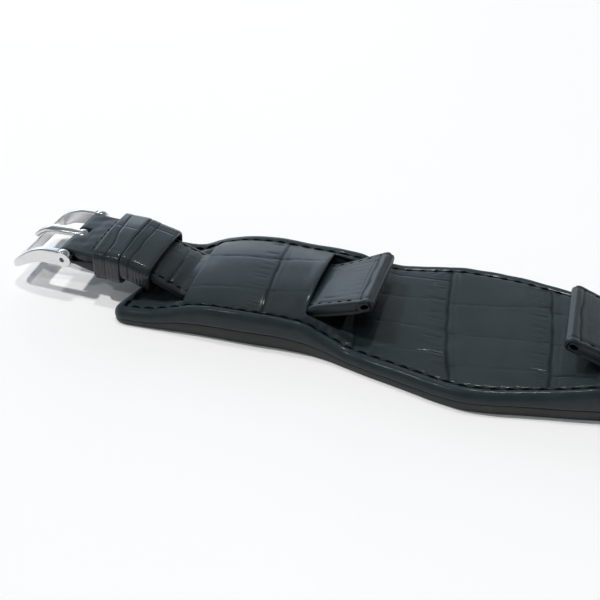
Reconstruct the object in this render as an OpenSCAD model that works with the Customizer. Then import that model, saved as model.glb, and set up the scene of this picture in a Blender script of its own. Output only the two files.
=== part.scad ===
// Leather cuff strap for a wristwatch: a contoured pad, and two strap halves threaded through it.
// X runs along the strap with the buckle at -X, Y runs across it, and Z points up.
// The origin is the middle of the pad's flat underside.

/* [Strap] */
// Width of both halves at the watch lugs
lug_width = 20; // [18:0.5:22]
// Width of both halves at the buckle and the tail
buckle_width = 16; // [14:0.5:18]
// Radius of the channel for the spring bar at each lug end
lug_bore_r = 1; // [0.8:0.05:1.1]
// Thickness of both halves at the lug ends
lug_thickness = 3; // [2.8:0.1:3.4]
// Thickness along the middle of the halves inside the pad
strap_thickness = 3.3; // [3:0.1:3.8]
// Thickness of the tail along its middle
tail_thickness = 2.7; // [2.3:0.1:3.2]
// Thickness of the skived long edges outside the pad
edge_thickness = 1.5; // [1.2:0.1:1.9]
// Thickness of the top leather of the halves
upper_t = 0.9; // [0.7:0.05:1]
// Height of the lug ends' underside above the table
lug_rise = 10.9; // [9:0.1:14]
// How far the buckle half's lug end lies from the middle of the pad
short_nose = 20.7; // [17:0.1:23]
// How far the tail half's lug end lies from the middle of the pad
long_nose = 16.5; // [15:0.1:22]
// Distance from the middle of the pad to the tip of the tail
tail_tip = 129.5; // [124:0.5:140]
// Length of the pointed end of the tail
tail_point = 13; // [9:0.5:18]

/* [Adjustment holes] */
// Number of adjustment holes
hole_count = 7; // [5:1:8]
// Radius of an adjustment hole
hole_r = 1; // [0.7:0.05:1.2]
// Distance between neighbouring holes
hole_pitch = 6; // [5:0.25:6.5]
// Distance from the tip of the tail to the first hole
first_hole = 23; // [19:0.5:27]

/* [Pad] */
// Overall length of the pad
pad_length = 153; // [148:1:160]
// Width of the pad under the watch
pad_mid_width = 41.4; // [37:0.2:46]
// Width of the pad at its two waists
pad_waist_width = 28.6; // [27.6:0.2:31]
// Width of the pad at its two ends
pad_end_width = 33.4; // [31:0.2:37]
// Radius of the pad's corners
pad_corner = 3; // [2:0.25:5]
// Thickness of the lining leather under the pad
lining_t = 1.4; // [1:0.1:1.8]
// Thickness of the padding under the watch
core_t = 0.9; // [0.6:0.1:1.3]
// Thickness of the leather that covers the padding
facing_t = 0.9; // [0.7:0.05:1.1]
// Thickness of the scaled top panel
panel_t = 1; // [0.8:0.05:1.2]
// Height of the padded rims beside the strap
rim_height = 6.4; // [5.8:0.1:7]
// Width of the rolled margin outside the top panel
margin = 2.2; // [1.9:0.1:2.5]
// Distance from the middle of the pad to each slot's outer lip
slot_at = 35; // [34:0.5:37]
// Length of each slot along the strap
slot_length = 7; // [6:0.5:8]
// Distance from the middle of the pad to each end of the top panel
mouth_at = 62.3; // [61:0.1:63.5]

/* [Keepers] */
// Width of each keeper along the strap
keeper_width = 6.6; // [5.5:0.1:6.8]
// Thickness of a keeper's outer leather
keeper_t = 0.65; // [0.5:0.05:0.8]
// Thickness of a keeper's lining
keeper_lining_t = 0.4; // [0.3:0.05:0.5]
// Distance from the middle of the pad to the middle of the fixed keeper
fixed_keeper_at = 81.7; // [81.4:0.1:82.4]

/* [Buckle] */
// Distance from the middle of the pad to the buckle's spring bar
bar_at = 92.2; // [91:0.1:93]
// Height of the buckle's spring bar above the table
bar_height = 8.4; // [8:0.1:8.8]
// Radius of the spring bar's barrel
bar_r = 0.9; // [0.8:0.05:0.95]
// Radius of the spring bar's tips
tip_r = 0.5; // [0.4:0.02:0.55]
// Length of the buckle from its spring bar to its front
buckle_reach = 13.9; // [12.5:0.1:16]
// Thickness of each side bar of the buckle
side_bar_t = 1.6; // [1.3:0.1:2]
// Height of the side bars at the spring bar
side_bar_h = 4; // [3.6:0.1:4.4]
// Width of the tongue at its middle
tongue_width = 2.6; // [2:0.1:3]
// Thickness of the tongue
tongue_t = 1.4; // [1.1:0.1:1.6]

/* [Hidden] */
$fn = 48;
glue = 0.05;
fit = 0.06;
side_gap = 0.2;
bed_gap = 0.3;
half_pad = pad_length / 2;
waist_at = 36;

// A smooth curve through [place, value] points that never swings past a point
function leg(pts, i) = (pts[i + 1][1] - pts[i][1]) / (pts[i + 1][0] - pts[i][0]);
function mean_slope(a, b) = a * b <= 0 ? 0 : 2 * a * b / (a + b);
function knot_slope(pts, i) =
    i == 0 ? leg(pts, 0)
    : i == len(pts) - 1 ? leg(pts, i - 1)
    : mean_slope(leg(pts, i - 1), leg(pts, i));
function leg_at(pts, x, i = 0) = i >= len(pts) - 2 || x < pts[i + 1][0] ? i : leg_at(pts, x, i + 1);
function smooth(pts, x) =
    let (i = leg_at(pts, x), h = pts[i + 1][0] - pts[i][0], t = (x - pts[i][0]) / h)
    (2 * t * t * t - 3 * t * t + 1) * pts[i][1]
    + (t * t * t - 2 * t * t + t) * knot_slope(pts, i) * h
    + (3 * t * t - 2 * t * t * t) * pts[i + 1][1]
    + (t * t * t - t * t) * knot_slope(pts, i + 1) * h;

// A solid skinned over closed sections. Each lists its top from -Y to +Y, and then as many
// points back along its underside, so that the ends close in strips from top to underside.
module loft(sections) {
    n = len(sections[0]);
    m = len(sections);
    last = (m - 1) * n;
    polyhedron(
        points = [for (s = sections) each s],
        faces = concat(
            [for (j = [0:n / 2 - 2]) each [[n - 1 - j, j + 1, j], [n - 1 - j, n - 2 - j, j + 1]]],
            [for (i = [0:m - 2], j = [0:n - 1]) each [
                [i * n + j, i * n + (j + 1) % n, (i + 1) * n + (j + 1) % n],
                [i * n + j, (i + 1) * n + (j + 1) % n, (i + 1) * n + j]]],
            [for (j = [0:n / 2 - 2]) each [
                [last + j, last + j + 1, last + n - 1 - j],
                [last + j + 1, last + n - 2 - j, last + n - 1 - j]]]
        ),
        convexity = 8
    );
}
// A section from its right half, whose top and underside run from the middle out
function both_sides(x, top, under) = concat(
    [for (i = [len(top) - 1:-1:0]) [x, -top[i][0], top[i][1]]],
    [for (p = top) [x, p[0], p[1]]],
    [for (i = [len(under) - 1:-1:0]) [x, under[i][0], under[i][1]]],
    [for (p = under) [x, -p[0], p[1]]]
);

// Layers of the pad under the watch, from the table up
core_z = lining_t + glue;
facing_z = core_z + core_t + glue;
panel_z = facing_z + facing_t + glue;
// Height of the facing between the rims, rising in the wings and thin at the ends
end_floor = core_z + 0.1 + glue + facing_t;
wing_floor = panel_z - glue + 0.6;
floor_pts = [
    [0, panel_z - glue], [slot_at - slot_length, panel_z - glue], [slot_at + 4, wing_floor],
    [mouth_at - 10, wing_floor - 0.2], [mouth_at - 1.5, end_floor + 0.35],
    [mouth_at + 4, end_floor], [half_pad + 1, end_floor]
];
function floor_z(u) = smooth(floor_pts, u);
// Height of the rims beside the strap
rim_pts = [
    [0, panel_z - glue], [slot_at - 11, panel_z - glue], [slot_at + 2.5, rim_height],
    [mouth_at - 8, rim_height], [mouth_at, rim_height - 1.6],
    [mouth_at + 7, rim_height - 2.6], [half_pad + 1, max(end_floor + 0.3, rim_height - 3.6)]
];
function rim_z(u) = smooth(rim_pts, u);

// Half-width of the pad, with round corners at its ends
outline_pts = [
    [-10, pad_mid_width / 2 - 1.6], [0, pad_mid_width / 2], [10, pad_mid_width / 2 - 1.6],
    [20, pad_mid_width / 2 - 3.65], [waist_at, pad_waist_width / 2],
    [54, pad_waist_width / 2 + 0.8], [half_pad, pad_end_width / 2]
];
function straight_outline(u) = smooth(outline_pts, u);
function corner_inset(u) =
    let (d = max(0, u - (half_pad - pad_corner)))
    pad_corner - sqrt(max(0, pad_corner * pad_corner - d * d));
function outline(u) = straight_outline(u) - corner_inset(u);

// Half-width of both strap halves at a distance from their lug end
taper_end = 74;
function strap_half(u, nose) =
    lookup(u, [[nose, lug_width / 2], [taper_end, buckle_width / 2]]);
// Half-width of the channel between the rims, which opens out past the panel
channel_clear = 0.55;
function channel(u) =
    lookup(u, [
        [slot_at - slot_length, strap_half(slot_at - slot_length, short_nose) + channel_clear],
        [mouth_at, strap_half(mouth_at, short_nose) + channel_clear],
        [mouth_at + 6, straight_outline(mouth_at + 6) - margin - 1.6],
        [half_pad - pad_corner, straight_outline(half_pad) - margin - 1.6 - pad_corner / 2]
    ]);

// Places along the pad at which its sections are taken, from one end to the other
pad_steps = 17;
half_places = concat(
    [for (i = [1:pad_steps]) i * (half_pad - pad_corner) / pad_steps],
    [for (a = [35, 60, 90]) half_pad - pad_corner * (1 - sin(a))]
);
function both_ways(places) =
    concat([for (i = [len(places) - 1:-1:0]) -places[i]], [0], places);
pad_places = both_ways(half_places);

module pad_lining() {
    color("saddlebrown")
    linear_extrude(lining_t)
    polygon(concat(
        [for (x = pad_places) [x, -outline(abs(x))]],
        [for (i = [len(pad_places) - 1:-1:0]) [pad_places[i], outline(abs(pad_places[i]))]]
    ));
}

// Where the padding ends inside the pad's turned end, and the widths that close it in
core_end = half_pad - 2.4;
wall = 0.55;
turn = 1.5;
function core_top(u) = floor_z(u) - facing_t - glue;
function core_rim(u) = rim_z(u) - facing_t - glue;

module pad_core() {
    places = both_ways([for (i = [1:pad_steps - 1]) i * core_end / (pad_steps - 1)]);
    color("dimgray")
    loft([for (x = places)
        let (
            u = abs(x),
            out = outline(u) - turn - 0.1 - glue,
            foot = channel(u) + wall + glue
        ) both_sides(x,
            [[foot, core_top(u)], [foot + 0.35, core_rim(u)], [out, core_rim(u)]],
            [[foot, core_z], [foot + 0.35, core_z], [out, core_z]])
    ]);
}

// The facing rolls over the rims to the lining, and is solid leather at both ends
bead = 0.7;
module pad_facing() {
    places = both_ways(concat(
        [for (i = [1:pad_steps - 1]) i * core_end / (pad_steps - 1)],
        [core_end + glue, core_end + 0.3],
        [for (a = [35, 60, 90]) half_pad - pad_corner * (1 - sin(a))]
    ));
    color([0.13, 0.15, 0.17])
    loft([for (x = places)
        let (
            u = abs(x),
            w = outline(u),
            z0 = lining_t + glue,
            top = rim_z(u) + bead,
            seat = w - margin,
            ch = channel(u) - corner_inset(u),
            open = u <= core_end + glue,
            rim_under = open ? rim_z(u) - facing_t : z0,
            floor_under = open ? floor_z(u) - facing_t : z0,
            rim_out = w - turn - 0.1,
            rim_in = ch + wall + 0.35
        ) both_sides(x,
            [
                [ch, floor_z(u)], [ch + 0.35, rim_z(u)], [seat, rim_z(u)], [seat + 0.1, top - 0.15],
                [w - 1.1, top], [w - 0.35, top - 0.55], [w, top - 1.5]
            ],
            [
                [ch + wall, floor_under], [rim_in, rim_under], [(2 * rim_in + rim_out) / 3, rim_under],
                [(rim_in + 2 * rim_out) / 3, rim_under], [rim_out, rim_under], [w - turn, z0], [w, z0]
            ])
    ]);
}

// Underside of a strap half: up from the pad to the lug end, and flat inside the tunnel
tunnel_floor = wing_floor + bed_gap;
lip_height = 5;
rise = [[0, 0], [0.25, 0.2], [0.5, 0.44], [0.75, 0.72], [1, 1]];
function lug_pts(nose) = [
    for (i = [len(rise) - 1:-1:0])
        [slot_at - rise[i][0] * (slot_at - nose), lip_height + rise[i][1] * (lug_rise - lip_height)]
];
tunnel_pts = [
    [slot_at + 5, tunnel_floor + 0.15], [slot_at + 11, tunnel_floor],
    [mouth_at - 9, tunnel_floor - 0.2], [mouth_at - 1.5, floor_z(mouth_at - 1.5) + bed_gap],
    [mouth_at + 2.2, end_floor + bed_gap + 0.1]
];
// The buckle half then climbs to the buckle, and the tail half droops past the pad to the table
layer_end = bar_at - 3.8;
loop_r = 2;
keeper_seat = bar_height - 0.1;
climb_pts = [
    [mouth_at + 5.7, 4.2], [mouth_at + 9.2, 5.6], [mouth_at + 12.7, 6.7], [mouth_at + 16.7, 7.6],
    [layer_end - 4.4, keeper_seat - 0.15], [bar_at, keeper_seat]
];
rest_gap = 0.1;
drape = 23;
droop_pts = [
    [half_pad - 4, end_floor + bed_gap], [half_pad + 1.5, end_floor + 0.25], [half_pad + 0.35 * drape, 1.9],
    [half_pad + 0.7 * drape, 0.7], [half_pad + drape, rest_gap + 0.05], [tail_tip, rest_gap]
];
short_path = concat(lug_pts(short_nose), tunnel_pts, climb_pts);
long_path = concat(lug_pts(long_nose), tunnel_pts, droop_pts);
function slope(path, u) = atan((smooth(path, u + 0.05) - smooth(path, u - 0.05)) / 0.1);
// A point at a height square to the underside
function above(path, u, h) =
    let (a = slope(path, u)) [u - h * sin(a), smooth(path, u) + h * cos(a)];

// Thickness along the middle and at the long edges
short_mid = [
    [short_nose, lug_thickness], [slot_at, strap_thickness], [mouth_at - 12, strap_thickness],
    [mouth_at, strap_thickness - 0.4], [mouth_at + 16, 2.4], [bar_at, loop_r + 0.1]
];
short_edge = [
    [short_nose, lug_thickness], [slot_at, lug_thickness - 0.4], [mouth_at, edge_thickness],
    [mouth_at + 16, edge_thickness + 0.1], [bar_at, loop_r]
];
long_mid = [
    [long_nose, lug_thickness], [slot_at, strap_thickness], [mouth_at - 12, strap_thickness],
    [mouth_at, strap_thickness - 0.4], [half_pad + 8, tail_thickness], [tail_tip, tail_thickness - 0.3]
];
long_edge = [
    [long_nose, lug_thickness], [slot_at, lug_thickness - 0.4], [mouth_at, edge_thickness],
    [tail_tip, edge_thickness]
];
// Thickness of the top leather and of the lining, skived together where the half is thin
function layer_t(edge, u) = min(upper_t, 0.47 * smooth(edge, u));
// Height of the top over the underside, crowned across the strap
function crown(mid, edge, u, v) =
    smooth(edge, u) + (smooth(mid, u) - smooth(edge, u)) * (1 - v * v);

// Half-width of a half, with the tail drawn to a point
function point_share(u) =
    let (t = max(0, u - (tail_tip - tail_point)) / tail_point) 1 - 0.94 * pow(t, 2.3);
short_half = function (u) strap_half(u, short_nose);
long_half = function (u) strap_half(u, long_nose) * point_share(u);

// Places along a half: the round lug end, the run, and the last few millimetres
nose_r = lug_thickness / 2;
function nose_places(nose) = [for (a = [12, 35, 60, 90]) nose + nose_r * (1 - cos(a))];
function nose_squeeze(nose, u) =
    let (d = max(0, nose + nose_r - u)) sqrt(max(0, nose_r * nose_r - d * d)) / nose_r;
function run(from, to, steps) = [for (i = [1:steps]) from + (to - from) * i / steps];
function between(places, first, last) =
    concat([first], [for (p = places) if (p > first + 0.3 && p < last - 0.3) p], [last]);
short_places = run(short_nose + nose_r, layer_end, 25);
long_places = concat(
    run(long_nose + nose_r, tail_tip - tail_point, 31),
    [for (t = [0.35, 0.6, 0.78, 0.9, 0.97, 1]) tail_tip - tail_point * (1 - t)]
);

// The lug end is one turned piece of top leather around the bore, solid until the lining starts
hem = 4.2;
cover = 0.86;
filler_hem = 3;
module strap_upper(path, mid, edge, nose, places, half) {
    run_end = places[len(places) - 1];
    loft([for (u = concat(nose_places(nose), [nose + hem - 0.15], between(places, nose + hem, run_end)))
        let (
            w = half(u),
            q = nose_squeeze(nose, u),
            solid = u < nose + hem - 0.1,
            skin = layer_t(edge, u),
            lining = layer_t(edge, u) + glue,
            over = [for (v = [1, cover, cover - 0.04, 0.45, 0]) [v, crown(mid, edge, u, v)]],
            under = [
                [1, solid ? 0 : lining], [cover, solid ? 0 : lining],
                [cover - 0.02, solid ? 0 : max(lining, crown(mid, edge, u, cover) - skin)],
                [0.45, solid ? 0 : crown(mid, edge, u, 0.45) - skin],
                [0, solid ? 0 : crown(mid, edge, u, 0) - skin]
            ],
            ring = concat(
                [for (p = over) [-p[0], p[1]]],
                [for (i = [len(over) - 2:-1:0]) over[i]],
                under,
                [for (i = [len(under) - 2:-1:0]) [-under[i][0], under[i][1]]]
            )
        ) [for (p = ring)
            let (h = nose_r + (p[1] - nose_r) * q, at = above(path, u, h)) [at[0], p[0] * w, at[1]]]
    ]);
}

module strap_lining(path, edge, nose, places, half, last) {
    loft([for (u = between(places, nose + hem, last))
        let (
            w = half(u),
            low = above(path, u, 0),
            high = above(path, u, layer_t(edge, u))
        ) [
            [low[0], -w, low[1]], [high[0], -w, high[1]], [high[0], w, high[1]], [low[0], w, low[1]]
        ]]);
}

module strap_filler(path, mid, edge, nose, places, half, last) {
    loft([for (u = between(places, nose + hem + 0.2, last))
        let (
            w = half(u),
            base = layer_t(edge, u) + glue,
            skin = layer_t(edge, u) + glue,
            side = cover - 0.05,
            places_across = [-side, -0.45, 0, 0.45, side],
            ring = concat(
                [for (v = places_across) [v, max(base + 0.06, crown(mid, edge, u, v) - skin)]],
                [for (v = places_across) [-v, base]]
            )
        ) [for (p = ring) let (at = above(path, u, p[1])) [at[0], p[0] * w, at[1]]]
    ]);
}

// Centre of the spring-bar bore in a lug end
function lug_bore(path, nose) = above(path, nose + nose_r, nose_r);
module lug_bore_cut(path, nose) {
    at = lug_bore(path, nose);
    translate([at[0], 0, at[1]])
        rotate([90, 0, 0])
            cylinder(r = lug_bore_r, h = lug_width + 2, center = true);
}

// The top panel lies on the pad under the watch and arches over the strap in both wings
panel_gap = [[slot_at, 0.55], [slot_at + 10, 0.4], [mouth_at - 10, 0.4], [mouth_at, 0.85]];
arch_drop = 0.9;
function arch_under(u) =
    smooth(short_path, u) + smooth(short_mid, u) / cos(slope(short_path, u)) + smooth(panel_gap, u);
module top_panel() {
    slot_in = slot_at - slot_length;
    places = both_ways(concat(
        run(0, slot_in - 1, 7), [slot_in + 1.5, slot_at - 1, slot_at], run(slot_at, mouth_at, 9)));
    color([0.15, 0.17, 0.19])
    difference() {
        loft([for (x = places)
            let (
                u = abs(x),
                edge = outline(u) - margin - 0.12,
                ch = channel(u),
                flat = u < slot_at - 0.5,
                level = (flat ? rim_z(u) : 0) + glue,
                mid = flat ? level : arch_under(u),
                low = flat ? level : max(rim_z(u) + glue, mid - arch_drop),
                half = [
                    [0.2 * ch, mid - (mid - low) * 0.02], [0.6 * ch, mid - (mid - low) * 0.2], [ch - 0.2, low],
                    [ch + 0.8, rim_z(u) + glue], [edge, rim_z(u) + glue]
                ]
            ) both_sides(x, [for (p = half) p + [0, panel_t * (p[0] == edge ? 0.8 : 1)]], half)
        ]);
        for (side = [-1, 1])
            translate([side * (slot_in + slot_length / 2), 0, 0])
                slot_cut();
    }
}

slot_corner = 1;
module slot_cut() {
    long = slot_length / 2 - slot_corner;
    wide = channel(slot_at - slot_length) + 0.1 - slot_corner;
    linear_extrude(lug_rise + lug_thickness) {
        square([2 * long, 2 * (wide + slot_corner)], center = true);
        square([2 * (long + slot_corner), 2 * wide], center = true);
        for (i = [-1, 1], j = [-1, 1])
            translate([i * long, j * wide])
                circle(slot_corner);
    }
}

// The buckle end of the short half: the top leather turns round the spring bar and back under
flap_t = 1.95;
loop_width = buckle_width - 0.2;
flap_end = fixed_keeper_at - 2.5;
notch_at = bar_at - 3.3;
notch_half = tongue_width / 2 + 0.6;
module buckle_loop() {
    flap = run(flap_end, layer_end, 5);
    function under(u) = smooth(short_path, u) - glue;
    rotate([90, 0, 0]) {
        translate([bar_at, bar_height, 0])
            cylinder(r = loop_r, h = loop_width, center = true);
        linear_extrude(loop_width, center = true)
            polygon(concat(
                [[flap_end, under(flap_end) - 0.1]],
                [for (u = flap) [u, under(u)]],
                [
                    [layer_end - 0.3, under(layer_end) + 0.02],
                    [layer_end - 0.3, smooth(short_path, layer_end) + smooth(short_edge, layer_end)],
                    [bar_at, bar_height + loop_r - 0.03], [bar_at, bar_height - loop_r + 0.03]
                ],
                [for (i = [len(flap) - 1:-1:0]) [flap[i], under(flap[i]) - flap_t]],
                [[flap_end, under(flap_end) - 0.7]]
            ));
    }
}
module notch_cut() {
    translate([notch_at, -notch_half, 0])
        cube([bar_at, 2 * notch_half, 2 * bar_height]);
}

module short_strap_upper() {
    color([0.14, 0.16, 0.18])
    mirror([1, 0, 0])
    difference() {
        union() {
            strap_upper(short_path, short_mid, short_edge, short_nose, short_places, short_half);
            buckle_loop();
        }
        lug_bore_cut(short_path, short_nose);
        translate([bar_at, 0, bar_height])
            rotate([90, 0, 0])
                cylinder(r = bar_r + fit, h = buckle_width + 2, center = true);
        notch_cut();
    }
}
module short_strap_filler() {
    color("dimgray")
    mirror([1, 0, 0])
    strap_filler(short_path, short_mid, short_edge, short_nose, short_places, short_half, layer_end - filler_hem);
}
module short_strap_lining() {
    color("saddlebrown")
    mirror([1, 0, 0])
    difference() {
        strap_lining(short_path, short_edge, short_nose, short_places, short_half, layer_end - 0.4);
        notch_cut();
    }
}

// Holes for the tongue, square to the tail
module hole_cuts() {
    for (i = [0:hole_count - 1]) {
        u = tail_tip - first_hole - i * hole_pitch;
        translate([u, 0, smooth(long_path, u)])
            rotate([0, -slope(long_path, u), 0])
                cylinder(r = hole_r, h = 4 * tail_thickness, center = true);
    }
}
module long_strap_upper() {
    color([0.14, 0.16, 0.18])
    difference() {
        strap_upper(long_path, long_mid, long_edge, long_nose, long_places, long_half);
        lug_bore_cut(long_path, long_nose);
        hole_cuts();
    }
}
module long_strap_filler() {
    color("dimgray")
    difference() {
        strap_filler(long_path, long_mid, long_edge, long_nose, long_places, long_half, tail_tip - filler_hem);
        hole_cuts();
    }
}
module long_strap_lining() {
    color("saddlebrown")
    difference() {
        strap_lining(long_path, long_edge, long_nose, long_places, long_half, tail_tip);
        hole_cuts();
    }
}

// A keeper's section: a round-cornered band with a slightly crowned top
keeper_corner = 1.4;
crown_r = 80;
module band_section(half, low, high, corner) {
    intersection() {
        translate([0, low])
        union() {
            translate([-half, corner])
                square([2 * half, high - low - 2 * corner + crown_r]);
            translate([corner - half, 0])
                square([2 * (half - corner), corner]);
            for (i = [-1, 1])
                translate([i * (half - corner), corner])
                    circle(corner);
        }
        translate([0, high - crown_r])
            circle(crown_r, $fn = 360);
    }
}
module keeper_band(at, clear, low, high, from, to) {
    function half(offset) = short_half(at) + clear + offset;
    translate([at, 0, smooth(short_path, at)])
        rotate([0, -slope(short_path, at), 0])
            rotate([90, 0, 90])
                linear_extrude(keeper_width, center = true)
                    difference() {
                        band_section(half(to), low - to, high + to, keeper_corner);
                        band_section(half(from), low - from, high + from, keeper_corner - (to - from));
                    }
}
// The fixed keeper is tight on the strap and its flap, and the free one hangs loose from the strap
fixed_clear = 0.12;
free_clear = 0.25;
fixed_low = -flap_t - glue - 0.3;
fixed_high = smooth(short_mid, fixed_keeper_at) + 0.3;
keeper_gap = 0.75;
free_keeper_at = fixed_keeper_at - keeper_width - keeper_gap;
free_low = -1.4;
free_high = smooth(short_mid, free_keeper_at) + 0.65;
leather_from = keeper_lining_t + glue;
leather_to = keeper_lining_t + glue + keeper_t;
module fixed_keeper() {
    color([0.14, 0.16, 0.18])
    mirror([1, 0, 0])
    keeper_band(fixed_keeper_at, fixed_clear, fixed_low, fixed_high, leather_from, leather_to);
}
module fixed_keeper_lining() {
    color("saddlebrown")
    mirror([1, 0, 0])
    keeper_band(fixed_keeper_at, fixed_clear, fixed_low, fixed_high, 0, keeper_lining_t);
}
module free_keeper() {
    color([0.14, 0.16, 0.18])
    mirror([1, 0, 0])
    keeper_band(free_keeper_at, free_clear, free_low, free_high, leather_from, leather_to);
}
module free_keeper_lining() {
    color("saddlebrown")
    mirror([1, 0, 0])
    keeper_band(free_keeper_at, free_clear, free_low, free_high, 0, keeper_lining_t);
}

// The buckle: arched side bars that run down into a sloping front bar
buckle_inner = buckle_width / 2 + side_gap;
buckle_outer = buckle_inner + side_bar_t;
bar_rise = side_bar_h / 2;
buckle_top = [
    [0, bar_rise], [0.31, bar_rise - 0.1], [0.53, bar_rise - 1], [0.7, bar_rise - 2.4],
    [0.88, bar_rise - 4.4], [1, bar_rise - 6]
];
buckle_under = [
    [0, -bar_rise], [0.24, 0.1 - bar_rise], [0.45, -bar_rise], [0.63, -bar_rise - 0.9],
    [0.82, -bar_rise - 2.2], [0.97, -bar_rise - 3.1]
];
function buckle_point(pts, t) = [bar_at + t * buckle_reach, bar_height + smooth(pts, t)];
window_end = bar_at + 0.75 * buckle_reach;
buckle_corner = 2;
window_corner = 1;
module buckle_frame() {
    steps = 14;
    color("silver")
    mirror([1, 0, 0])
    difference() {
        intersection() {
            rotate([90, 0, 0]) {
                translate([bar_at, bar_height, 0])
                    cylinder(r = bar_rise + 0.05, h = 2 * buckle_outer, center = true);
                linear_extrude(2 * buckle_outer, center = true)
                    polygon(concat(
                        [for (i = [0:steps]) buckle_point(buckle_top, i / steps)],
                        [for (i = [steps:-1:0]) buckle_point(buckle_under, 0.97 * i / steps)]
                    ));
            }
            linear_extrude(2 * bar_height) {
                reach = bar_at + buckle_reach - buckle_corner;
                translate([bar_at - 2 * bar_rise, -buckle_outer])
                    square([reach - bar_at + 2 * bar_rise, 2 * buckle_outer]);
                translate([reach - 1, buckle_corner - buckle_outer])
                    square([buckle_corner + 1, 2 * (buckle_outer - buckle_corner)]);
                for (i = [-1, 1])
                    translate([reach, i * (buckle_outer - buckle_corner)])
                        circle(buckle_corner);
            }
        }
        translate([0, 0, -1])
            linear_extrude(2 * bar_height + 2) {
                long = window_end - window_corner;
                translate([bar_at - 2 * bar_rise, -buckle_inner])
                    square([long - bar_at + 2 * bar_rise, 2 * buckle_inner]);
                translate([long - 1, window_corner - buckle_inner])
                    square([window_corner + 1, 2 * (buckle_inner - window_corner)]);
                for (i = [-1, 1])
                    translate([long, i * (buckle_inner - window_corner)])
                        circle(window_corner);
            }
        translate([bar_at, 0, bar_height])
            rotate([90, 0, 0])
                cylinder(r = tip_r + fit, h = 2 * buckle_outer + 2, center = true);
    }
}

// The tongue: a ring on the spring bar and a bowed arm whose tip lies on the front bar
ring_r = loop_r - 0.2;
tongue_end = 0.91;
function bar_top(t) = smooth(buckle_top, t);
tongue_under = [
    [0, 0.3], [0.27, 0.5], [0.55, bar_top(0.55) - 0.75], [0.76, bar_top(0.76) + 0.15],
    [tongue_end, bar_top(tongue_end) + 0.15]
];
module buckle_tongue() {
    steps = 12;
    arm = [for (i = [0:steps]) buckle_point(tongue_under, tongue_end * i / steps)];
    tip_half = 0.3 * tongue_width;
    color("gainsboro")
    mirror([1, 0, 0])
    difference() {
        intersection() {
            rotate([90, 0, 0]) {
                translate([bar_at, bar_height, 0])
                    cylinder(r = ring_r, h = tongue_width, center = true);
                linear_extrude(tongue_width, center = true)
                    polygon(concat(
                        [for (p = arm) p],
                        [for (i = [steps:-1:0]) arm[i] + [0, tongue_t * (i == steps ? 0.55 : 1)]]
                    ));
            }
            linear_extrude(2 * bar_height)
                polygon([
                    [bar_at - ring_r - 1, -tongue_width], [bar_at + 0.55 * buckle_reach, -tongue_width / 2],
                    [bar_at + buckle_reach, -tip_half], [bar_at + buckle_reach, tip_half],
                    [bar_at + 0.55 * buckle_reach, tongue_width / 2], [bar_at - ring_r - 1, tongue_width]
                ]);
        }
        translate([bar_at, 0, bar_height])
            rotate([90, 0, 0])
                cylinder(r = bar_r + fit, h = tongue_width + 2, center = true);
    }
}

// The spring bar: a crimped tube with a sprung plunger at each end
plunger_travel = 1.15;
barrel_half = buckle_width / 2 - plunger_travel - 0.35;
barrel_wall = 0.27;
crimp = 0.4;
stem_r = 0.38;
module on_bar() {
    translate([-bar_at, 0, bar_height])
        rotate([90, 0, 0])
            children();
}
module spring_bar_barrel() {
    color("lightgray")
    on_bar()
    difference() {
        cylinder(r = bar_r, h = 2 * barrel_half, center = true);
        cylinder(r = bar_r - barrel_wall, h = 2 * (barrel_half - crimp), center = true);
        cylinder(r = stem_r + fit, h = 2 * barrel_half + 2, center = true);
    }
}
head_t = 0.45;
flange_t = 0.35;
flange_at = barrel_half + plunger_travel + 0.05;
tip_end = buckle_inner + side_bar_t - 0.5;
module plunger() {
    head_at = barrel_half - crimp - head_t - 0.02;
    translate([0, 0, head_at])
        cylinder(r = bar_r - barrel_wall - fit, h = head_t);
    translate([0, 0, head_at])
        cylinder(r = stem_r, h = flange_at - head_at + 0.1);
    translate([0, 0, flange_at])
        cylinder(r = bar_r - 0.12, h = flange_t);
    translate([0, 0, flange_at])
        cylinder(r = tip_r, h = tip_end - flange_at);
}
module plunger_near() {
    color("darkgray")
    on_bar()
    plunger();
}
module plunger_far() {
    color("darkgray")
    on_bar()
    mirror([0, 0, 1])
    plunger();
}
// The coil between the plungers, swept round a helix
coil_turns = 11;
wire_r = 0.08;
coil_r = bar_r - barrel_wall - fit - wire_r - 0.02;
coil_rings = 8;
wire_sides = 6;
coil_half = barrel_half - crimp - head_t - 0.02 - wire_r - 0.03;
module spring_bar_spring() {
    steps = coil_turns * coil_rings;
    lead = atan(2 * coil_half / (coil_turns * 2 * PI * coil_r));
    color("darkgray")
    on_bar()
    loft([for (i = [0:steps])
        let (a = 360 * i / coil_rings, at = [coil_r * cos(a), coil_r * sin(a), coil_half * (2 * i / steps - 1)])
        [for (j = [0:wire_sides - 1])
            let (b = -360 * j / wire_sides, r = wire_r * cos(b), h = wire_r * sin(b))
            at + r * [cos(a), sin(a), 0] + h * [sin(a) * sin(lead), -cos(a) * sin(lead), cos(lead)]
        ]]);
}

pad_lining();
pad_core();
pad_facing();
top_panel();
short_strap_upper();
short_strap_filler();
short_strap_lining();
long_strap_upper();
long_strap_filler();
long_strap_lining();
fixed_keeper();
fixed_keeper_lining();
free_keeper();
free_keeper_lining();
buckle_frame();
buckle_tongue();
spring_bar_barrel();
plunger_near();
plunger_far();
spring_bar_spring();
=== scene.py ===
"""Looks of a leather cuff watch strap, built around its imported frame.

Lengths are worked out in millimetres and stored in metres. X runs along the strap with the
buckle at -X, Y runs across it, and Z points up from the table. Most shapes come from tables
of (place, value) knots with a smooth curve through them."""
from collections import namedtuple
from functools import partial
from math import cos, pi, radians, sin

import bmesh
import bpy
import numpy as np
from bpy.props import FloatProperty, FloatVectorProperty, PointerProperty
from mathutils import Matrix


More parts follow.
